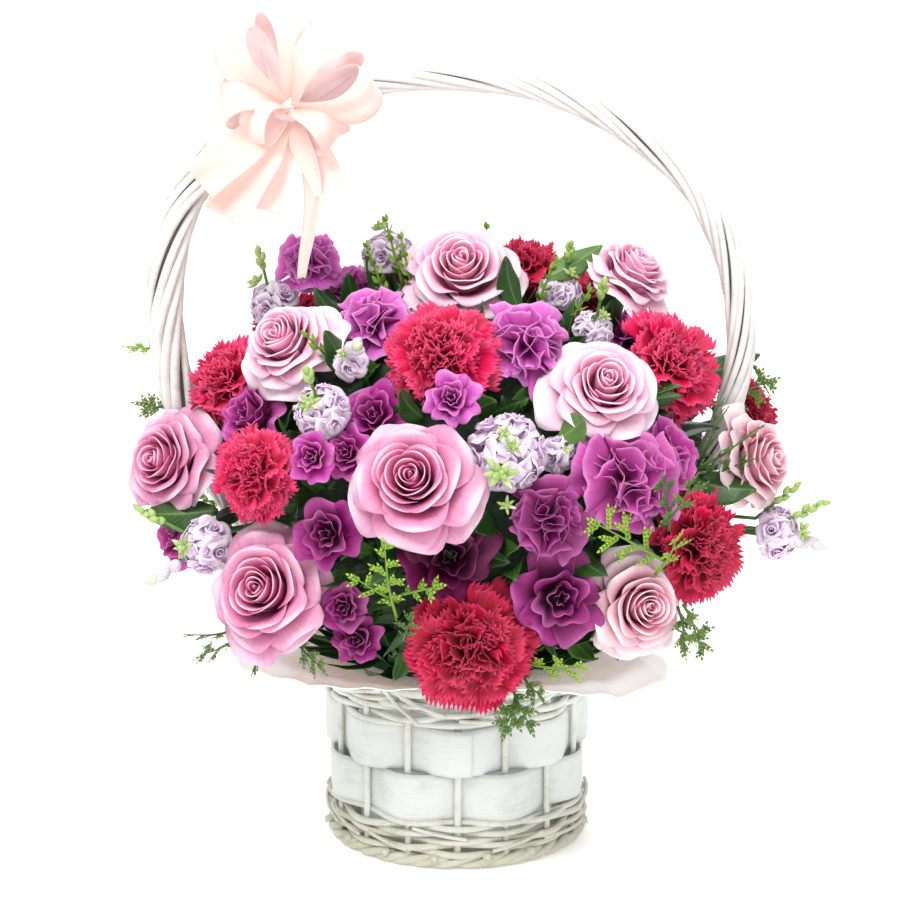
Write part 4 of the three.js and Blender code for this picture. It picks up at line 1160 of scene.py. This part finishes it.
def basket(mats, rng):
    """Stakes with two parts of wicker, the base plate and loose strands."""
    soup = Soup()
    wicker_rows(soup, FOOT_Z[0] - 0.5, FOOT_Z[1] + 0.2, 6, rng, 1.1)
    wicker_rows(soup, RIM_Z[0] - 0.2, RIM_Z[1], 7, rng, 1.2)
    t = np.linspace(0, 1, 12)
    for i in range(STAKES):
        a = i / STAKES * TAU
        x, y, _ = CIRCLE * level(a)
        lean = rng.normal(0, 0.35, 4)
        path = stack(x + lean[0] * np.sin(t * 3), y + lean[1] * np.sin(t * 4), 4 + 113 * t)
        soup.tube(path, 2.35, 8, (-math.sin(a), math.cos(a), 0), even(rng.uniform(0, 0.6)), flat=0.8)
    soup.rings(np.array([around(circle(96), r, z) for r, z in BASE]), even(0.5))
    loose_strands(soup, rng)
    build(soup, "woven_basket", mats["wicker"], ["basket_frame"])


def foot_border(mats, rng):
    """Three thick rods plaited round the foot, with the stakes' cut ends between them."""
    soup = Soup()
    a = circle(384)
    for k in range(3):
        turn = 12 * a + k / 3 * TAU + 0.5 * np.sin(3 * a + k)
        path = around(a, 82.1 + 2.1 * np.cos(turn), 4.75 + 2.15 * np.sin(turn))
        soup.tube(path, 2.55, 9, UP, even(0.2 + 0.25 * k), closed=True)
    for i in range(STAKES):
        place = (i + 0.5) / STAKES * TAU + rng.normal(0, 0.03)
        way = level(place + 0.25) + np.array([0, 0, 0.12])
        start = 84.2 * level(place) + np.array([0, 0, rng.uniform(6.6, 8.6)])
        soup.tube([start - way * 4, start, start + way * 4.2], [2.3, 2.5, 2.4], 9, UP, even(0.7))
    build(soup, "plaited_foot", mats["wicker"], ["foot_border"])


def splint(mats, name, low, high, hand, rng):
    """A wide splint that weaves past the stakes; its end laps over its start."""
    start = -1.62 if hand > 0 else 1.35
    lap, steps = 0.16, 300
    share = np.linspace(0, 1, steps)[None]
    a = start + (TAU + lap) * share
    over = 1.5 * smooth(share, 1 - lap / TAU - 0.012, 1 - lap / TAU + 0.004)
    wave = 0.35 * np.sin(3 * a + rng.uniform(0, TAU)) + 0.25 * np.sin(7 * a + rng.uniform(0, TAU))
    up = np.linspace(0, 1, 9)[:, None]
    crown = 0.9 * np.sin(math.pi * up) * (1 - 0.3 * np.cos(16 * a))
    reach = CIRCLE + hand * 3.9 * np.cos(8 * a) + over + crown
    height = low + (high - low) * up + wave * (2 * up - 1) * 0.5
    soup = Soup()
    soup.sheet(around(a, reach, height), stack(up, 0.5, 0.2, 0.5 + 0 * a), 1.5, 0.75)
    build(soup, name.replace("band", "strip"), mats["splint"], [name])


def handle_line(steps):
    """The handle's line as a smooth curve: x, z and the bundle's radius."""
    rows = np.array(HANDLE_LINE, float)
    rows = np.vstack([2 * rows[0] - rows[1], rows, 2 * rows[-1] - rows[-2]])
    place = np.linspace(0, len(HANDLE_LINE) - 1, steps)
    i = np.minimum(place.astype(int), len(HANDLE_LINE) - 2)
    t = (place - i)[:, None]
    p0, p1, p2, p3 = (rows[i + k] for k in range(4))
    square = t * t * (p0 - 2.5 * p1 + 2 * p2 - 0.5 * p3)
    cube = t ** 3 * (1.5 * p1 - 0.5 * p0 - 1.5 * p2 + 0.5 * p3)
    return (p1 + 0.5 * t * (p2 - p0) + square + cube).T


def handle(mats, rng):
    """Nine rods round a dark heart that is painted shade in the gaps between them, twisting along the loop,
    and a rod's cut end beside the bow.
    """
    soup = Soup()
    steps, rods = 520, 9
    x, z, radius = handle_line(steps)
    middle = stack(x, 0, z)
    across = np.broadcast_to([0.0, 1.0, 0.0], middle.shape)
    out = np.cross(across, unit(np.gradient(middle, axis=0)))
    share = np.linspace(0, 1, steps)
    for k in range(rods):
        wobble = rng.uniform(0, TAU)
        turn = (k / rods + 5.2 * share) * TAU + 0.14 * np.sin(share * 31 + wobble)
        thick = radius * 0.245 * (1 + 0.1 * np.sin(share * 17 + wobble))
        far = radius * (0.75 + 0.03 * np.sin(share * 23 + wobble * 2))
        path = middle + out * (far * np.cos(turn))[:, None] + across * (far * np.sin(turn))[:, None]
        path[0, 2] = path[-1, 2] = HANDLE_FOOT
        soup.tube(path, thick, 8, (0, 1, 0), even(rng.uniform(0, 1)))
    # The heart: a dark tube inside the rods, painted shade that shows in the gaps between them.
    soup.tube(middle, radius * 0.6, 10, (0, 1, 0), (0.5, 0, 1.0, 0.0))
    bit = slice(int(0.325 * steps), int(0.362 * steps))
    lift = radius[bit] * 1.02 * np.linspace(0.86, 1.06, bit.stop - bit.start)
    soup.tube(middle[bit] - out[bit] * lift[:, None], 2.4, 8, (0, 1, 0), even(0.6))
    build(soup, "bundled_handle", mats["rods"], ["handle"])


def collar_edge(angle):
    """The collar's reach and its edge's height at an angle: short in front, long at the sides."""
    c, front = np.cos(angle), np.maximum(0, -np.sin(angle))
    sideways = np.abs(c) ** 2
    side = 41 + 7 * np.sin(3 * angle + 0.6) + 13 * np.maximum(0, -c) ** 4
    droop = 13 * np.maximum(0, c)
    return 97 - 6 * front ** 2 + side * sideways, 123.5 + (2.5 * np.cos(5 * angle) - droop) * sideways


def liner(mats):
    """A cup inside the basket, and a collar that lies over the rim and hangs in pleats at the sides."""
    a = circle(288)
    reach, edge_z = collar_edge(a)
    cup, floor, lip = LINER["radius"] - LINER["wall"] / 2, LINER["floor"], LINER["lip"]
    over_rim, over_radius = LINER["over_rim"], LINER["over_radius"]
    sideways = np.cos(a) ** 2
    ripple = 1.3 * np.sin(17 * a) + 0.8 * np.sin(29 * a + 1)
    pleat = np.abs(np.sin(6.5 * a + 0.4)) ** 0.6 + 0.4 * np.abs(np.sin(11 * a + 2)) ** 0.7 - 0.9
    rows = [around(a, r, floor + 0.55) for r in (6, 20, 40, 58)]
    rows += [around(a, cup + 0.25 * np.sin(23 * a), z) for z in np.linspace(floor + 2, lip - 2, 9)]
    for t in np.linspace(0, 1, 5):
        z = lip + 0.6 + (over_rim - lip) * math.sin(t * 1.57) + 0.35 * ripple * t * (1 - t)
        rows.append(around(a, cup + 1 + (over_radius - cup) * t, z))
    for t in np.linspace(0.1, 1, 14):
        fall = over_rim + 0.6 + (edge_z - over_rim) * t ** 1.2
        hem = 8 * smooth(t, 0.62, 1.0) * sideways
        r = over_radius + (reach - over_radius) * t - 0.25 * hem
        rows.append(around(a, r, fall - hem + (ripple * 0.5 + 3.4 * pleat * sideways) * t))
    # Both faces of the cloth, with the normals made equal where the turn closes
    rows = np.array(rows)
    wrapped = np.concatenate([rows, rows[:, :1]], axis=1)
    normal = unit(np.cross(np.gradient(wrapped, axis=1), np.gradient(wrapped, axis=0)))
    normal[:, 0] = normal[:, -1] = unit(normal[:, 0] + normal[:, -1])
    half = 0.5
    front, back = (wrapped + normal * half)[:, :-1], (wrapped - normal * half)[:, :-1]
    soup = Soup()
    soup.rings(np.concatenate([front[::-1], back])[:, ::-1], even(0.3, 0.5), closed=True)
    piece = build(soup, "liner_sheet", mats["liner"], ["liner"])


def bow_frame(degrees, lean):
    """The way out of the knot at an angle round it, the way across the ribbon, and its front."""
    angle = math.radians(degrees)
    out = unit(np.array([math.cos(angle), -lean, math.sin(angle)]))
    across = np.array([-math.sin(angle), 0, math.cos(angle)])
    return out, across, unit(np.cross(out, across))


def ribbon(soup, line, across, widths, cup, rng, notch=0.0):
    """A strip along a line, cupped across its width; a notch cuts its end to a V. Returns its length."""
    along = unit(np.gradient(line, axis=0))
    across = unit(across - along * (along * across).sum(1)[:, None])
    out = np.cross(along, across)
    u, t = grid(13, len(line))
    half = widths[:, None] / 2
    phase = rng.uniform(0, TAU)
    lift = cup * half * (u ** 2 - 0.4) + 0.05 * half * np.sin(u * 5 + t * 6 + phase)
    slide = -notch * half * (1 - np.abs(u)) * smooth(t, 0.75, 1.0)
    points = line[:, None] + across[:, None] * (u * half)[..., None] + out[:, None] * lift[..., None]
    points = points + along[:, None] * slide[..., None]
    soup.sheet(points, stack(t, u, rng.uniform(), 1.0), 0.5, 0.8, under=0.0)
    return float(np.sum(np.linalg.norm(np.diff(line, axis=0), axis=1)))


def bow(mats, rng):
    """Loops, tails, the knot and the turn round the handle; also the ribbon's length in metres."""
    soup = Soup()
    length = 0.0
    t = np.linspace(0, 1, 48)
    for degrees, reach, half, lean, roll in LOOPS:
        out, across, front = bow_frame(degrees, lean)
        across, front = turned(across, front, math.radians(roll))
        along = reach * np.sin(math.pi * t) ** 0.85
        depth = half * 1.1 * np.sin(2 * math.pi * t) + 1.5 * np.cos(math.pi * t)
        line = KNOT + out * along[:, None] + front * depth[:, None]
        widths = 8 + (min(RIBBON, reach * 0.62) - 8) * np.sin(math.pi * t) ** 0.5
        length += ribbon(soup, line, across, widths, 0.12 * math.copysign(1, rng.uniform(-1, 1)), rng)
    t = np.linspace(0, 1, 34)
    for degrees, reach, lean, broad in TAILS:
        out, across, front = bow_frame(degrees, lean)
        line = KNOT + out * (reach * t)[:, None]
        line[:, 1] -= 4 * np.sin(math.pi * t) + 3.0 * np.sin(2.2 * math.pi * t) * t
        if reach > LONG_TAIL:
            line = line + across * (9 * np.sin(1.25 * math.pi * t))[:, None]
            turn = 0.5 + 0.75 * t[:, None]
            across = across * np.cos(turn) + front * np.sin(turn)
        widths = 7 + RIBBON * broad * np.minimum(1, 2.4 * t) ** 0.8
        length += ribbon(soup, line, across, widths, 0.2, rng, notch=0.12)
    # The knot: a short fold of ribbon gathered over the crossing
    turn = np.linspace(0, 1, 28) * TAU
    knot = KNOT + stack(0, -7.2 * np.cos(turn), 8.6 * np.sin(turn))
    length += ribbon(soup, knot, np.array([1.0, 0, 0.1]), 16 + 3 * np.cos(turn) ** 2, 0.3, rng)
    soup.ball(KNOT, (1, 0, 0), 6.4, 14, even(0.5), 16, 10)
    length += turn_round_handle(soup, rng)
    return build(soup, "satin_bow", mats["satin"], ["ribbon_bow"]), length * MM


def turn_round_handle(soup, rng):
    """The turn of ribbon that holds the knot to the handle. Returns its length."""
    x, z, radius = handle_line(2000)
    best = int(np.argmin((x - KNOT[0]) ** 2 + (z - KNOT[2]) ** 2))
    way = unit(np.array([x[best + 1] - x[best], 0, z[best + 1] - z[best]]))
    turn = np.linspace(0, 1, 48)[:, None] * TAU
    ring = np.cos(turn) * np.cross([0, 1, 0], way) + np.sin(turn) * np.array([0, 1, 0])
    band = np.array([x[best], 0, z[best]]) + (radius[best] + 2.2) * ring
    return ribbon(soup, band, way, np.full(48, 14.0), 0.08, rng)


# ----------------------------------------------------------------------------------------
# The whole object
# ----------------------------------------------------------------------------------------

# Blooms whose colours differ from those of their kind, listed under their look.
LOOKS = {
    # The light roses are the upper ones: their paler colours paint the light from above.
    "rose_light": ("rose_02", "rose_03", "rose_04", "rose_08"),
    "rose_cream": ("rose_06", "rose_09"),
    "carnation_pink": ("carnation_01", "carnation_02", "carnation_03", "carnation_05"),
    "purple_light": ("purple_01", "purple_06", "purple_08", "purple_11", "purple_13", "purple_16"),
    # The deep and dark purples are low blooms: their darker colours are partly their own tone, partly painted
    # shade under the dome.
    "purple_deep": ("purple_03", "purple_04", "purple_05", "purple_10"),
    "purple_dark": ("purple_12",),
}


def arrangement(mats):
    """All the blooms with their stems, and the stocks' buds."""
    rng = np.random.default_rng(26)
    heads = []
    stalks, buds = Soup(), Soup()
    for name, spots in FLOWERS:
        kind = name.split("_")[0]
        soup = Soup()
        for spot in spots:
            head = Head(name, spot, rng)
            heads.append(head)
            if kind == "rose":
                rose(soup, head, rng)
            elif kind == "stock":
                stock_head(soup, buds, head, rng)
            elif name in CUPPED:
                whorled(soup, head.place, head.radius, rng, CUP, 23, 13, 0.3, 3.0, 0.075)
            else:
                frilled(soup, head.place, head.radius, rng, kind)
            calyx_and_stem(stalks, head, rng)
        look = next((look for look, names in LOOKS.items() if name in names), kind)
        build(soup, name + "_petals", mats[look], [name])
    side_shoots(stalks, buds, rng)
    build(buds, "stock_buds", mats["bud"], ())
    build(stalks, "stems_and_calyxes", mats["leaf"], ["stems_and_leaves"])
    return heads


# Side shoots: root, tip, how many buds, and how pale they are, with PALE ones larger.
SHOOTS = [
    ((196, -46, 214), (230, -50, 232), 7, 0.3), ((196, -44, 210), (226, -46, 205), 4, 0.9),
    ((190, -40, 220), (214, -40, 240), 5, 0.35), ((-165, -92, 222), (-196, -84, 236), 6, 0.4),
    ((-160, -95, 214), (-186, -92, 194), 3, 0.95), ((87, -50, 352), (90, -56, 372), 6, 0.15),
    ((-84, -136, 318), (-88, -140, 332), 5, 0.3), ((-66, -106, 338), (-60, -118, 344), 4, 0.95),
    ((-123, 22, 360), (-128, 20, 382), 5, 0.4), ((69, 4, 368), (72, 0, 388), 5, 0.15),
]
PALE = 0.8
# Single stars of buds in front: the middle and size.
STARS = [((24, -183, 281), 12.5), ((26, -180, 304), 6), ((28, -178, 261), 6)]


def side_shoots(stalks, buds, rng):
    """Thin stems with buds that reach out of the dome, and the stars in front on short stems."""
    for root, tip, count, pale in SHOOTS:
        root, tip = np.array(root, float), np.array(tip, float)
        axis = unit(tip - root)
        side = basis(axis)
        line = [towards(root, 0.9), root, (root + tip) / 2 + side[:, 0] * 1.5, tip]
        stalks.tube(line, [1.3, 1.2, 0.9, 0.7], 6, side[:, 0], green(0.7))
        grow = 1.7 if pale > PALE else 1.0
        for k in range(count):
            t = 0.5 + 0.5 * k / max(1, count - 1)
            way = unit(axis + side @ level(k * GOLDEN) * (1.1 - 0.8 * t))
            start = root + (tip - root) * t
            spot = start + way * (4.5 - 1.5 * t)
            stalks.tube([start, spot - way * 1.5], [0.6, 0.6], 5, side[:, 1], green(0.7))
            tone = np.clip(pale + rng.normal(0, 0.1), 0, 1)
            buds.ball(spot, way, grow * (3.1 - 1.1 * t), grow * (9.6 - 2.6 * t), even(tone))
    for middle, size in STARS:
        middle = np.array(middle, float)
        bud_star(buds, middle, (0.05, -0.93, 0.35), size, rng)
        stalks.tube([towards(middle, 0.8), middle], [1.4, 1.2], 6, UP, green(0.7))


# Sprays lighter than this go with the light cedar; the others are lifted by DARK_LIFT.
LIGHT_CEDAR, DARK_LIFT = 0.55, 0.2


def greens(mats, heads):
    """The core, its leaves, and the sprays and sprigs that stand out of it."""
    rng = np.random.default_rng(7)
    core, inner, outer, light, dark = (Soup() for _ in range(5))
    leafy_core(core, rng)
    carpet_leaves(inner, rng)
    scatter_leaves(outer, heads, rng)
    collar_leaves(outer, rng)
    for root, tip, width, tone in LEAVES:
        side = unit(np.cross(np.subtract(tip, root), (0.3, -0.8, 0.6)))
        leaf(outer, root, tip, side, width, tone, 0.08, columns=9, rows=13)
    for tip in SPRIGS:
        sprig(light, towards(tip, 0.74), tip, rng)
    behind = [(towards(tip, 0.72), tip, width, tone) for *tip, width, tone in CEDARS]
    for root, tip, width, tone in SPRAYS + behind:
        if tone > LIGHT_CEDAR:
            cedar(light, root, tip, width, rng, tone)
        else:
            cedar(dark, root, tip, width, rng, tone + DARK_LIFT)
    for soup, name, look in (
        (core, "leafy_core", "core"), (inner, "inner_leaves", "leaf"), (outer, "leaves", "leaf"),
        (light, "cedar_light", "cedar"), (dark, "cedar_dark", "dark_cedar"),
    ):
        build(soup, name, mats[look], ["stems_and_leaves"])


# The backdrop's outline, y and z in metres: the floor, which curves up behind.
BACKDROP = [(-3.0, 0.0), (1.6, 0.0), (2.2, 0.08), (2.7, 0.4), (2.95, 1.0), (3.0, 3.4)]
BACKDROP_HALF = 4.0
# Lamps: name, place, what it shines at, size and power.
LAMPS = [
    ("key", (-0.9, -1.3, 2.1), (0, 0, 0.25), 1.2, 38), ("fill", (0.7, -2.2, 0.6), (0, 0, 0.15), 1.6, 15),
    ("back", (0.4, 1.6, 1.9), (0, 0, 0.3), 1.5, 24), ("top", (0.15, -0.55, 1.75), (0, 0, 0.35), 0.9, 13),
]
SKY = 0.52
LENS, SENSOR = 96.0, 36.0
CAMERA_PLACE = (-0.00455, -1.5259, 0.5803)
CAMERA_PITCH = 12


def backdrop():
    """Pale paper under and behind the object."""
    points = [(x, y, z) for y, z in BACKDROP for x in (-BACKDROP_HALF, BACKDROP_HALF)]
    faces = [(2 * i, 2 * i + 1, 2 * i + 3, 2 * i + 2) for i in range(len(BACKDROP) - 1)]
    mesh = bpy.data.meshes.new("backdrop")
    mesh.from_pydata(points, [], faces)
    for polygon in mesh.polygons:
        polygon.use_smooth = True
    m = Nodes(
        "backdrop_paper", Roughness=0.9, Specular_IOR_Level=0.1, Emission_Color=(1, 1, 1, 1),
        Emission_Strength=0.22,
    )
    mesh.materials.append(m.paint(m.ramp(m.noise(m.place(), 3.0), [(0.3, "fbfafa"), (0.7, "fdfdfd")])))
    link("backdrop", mesh)


def stage():
    """The backdrop, soft lamps, a pale sky and the camera."""
    backdrop()
    for name, place, target, size, power in LAMPS:
        light = bpy.data.lights.new(name, "AREA")
        light.shape = "DISK"
        light.size = size
        light.energy = power
        lamp = link(name, light)
        lamp.location = place
        lamp.rotation_euler = (Vector(target) - Vector(place)).to_track_quat("-Z", "Y").to_euler()
    world = bpy.data.worlds.new("studio")
    world.use_nodes = True
    sky = world.node_tree.nodes["Background"]
    sky.inputs[0].default_value = (1, 1, 1, 1)
    sky.inputs[1].default_value = SKY
    bpy.context.scene.world = world
    camera = bpy.data.cameras.new("camera")
    camera.lens = LENS
    camera.sensor_width = SENSOR
    camera.sensor_fit = "HORIZONTAL"
    holder = link("camera", camera)
    holder.location = CAMERA_PLACE
    holder.rotation_euler = (math.radians(90 - CAMERA_PITCH), 0, 0)
    bpy.context.scene.camera = holder
    bpy.context.scene.view_settings.view_transform = "Standard"


def main():
    mats = make_materials()
    rng = np.random.default_rng(3)
    heads = arrangement(mats)
    greens(mats, heads)
    basket(mats, rng)
    foot_border(mats, rng)
    for name, low, high, hand in BANDS:
        splint(mats, name, low, high, hand, rng)
    handle(mats, rng)
    liner(mats)
    piece, length = bow(mats, rng)
    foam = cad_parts["floral_foam"]
    foam.data.materials.clear()
    foam.data.materials.append(mats["foam"])
    stage()


main()
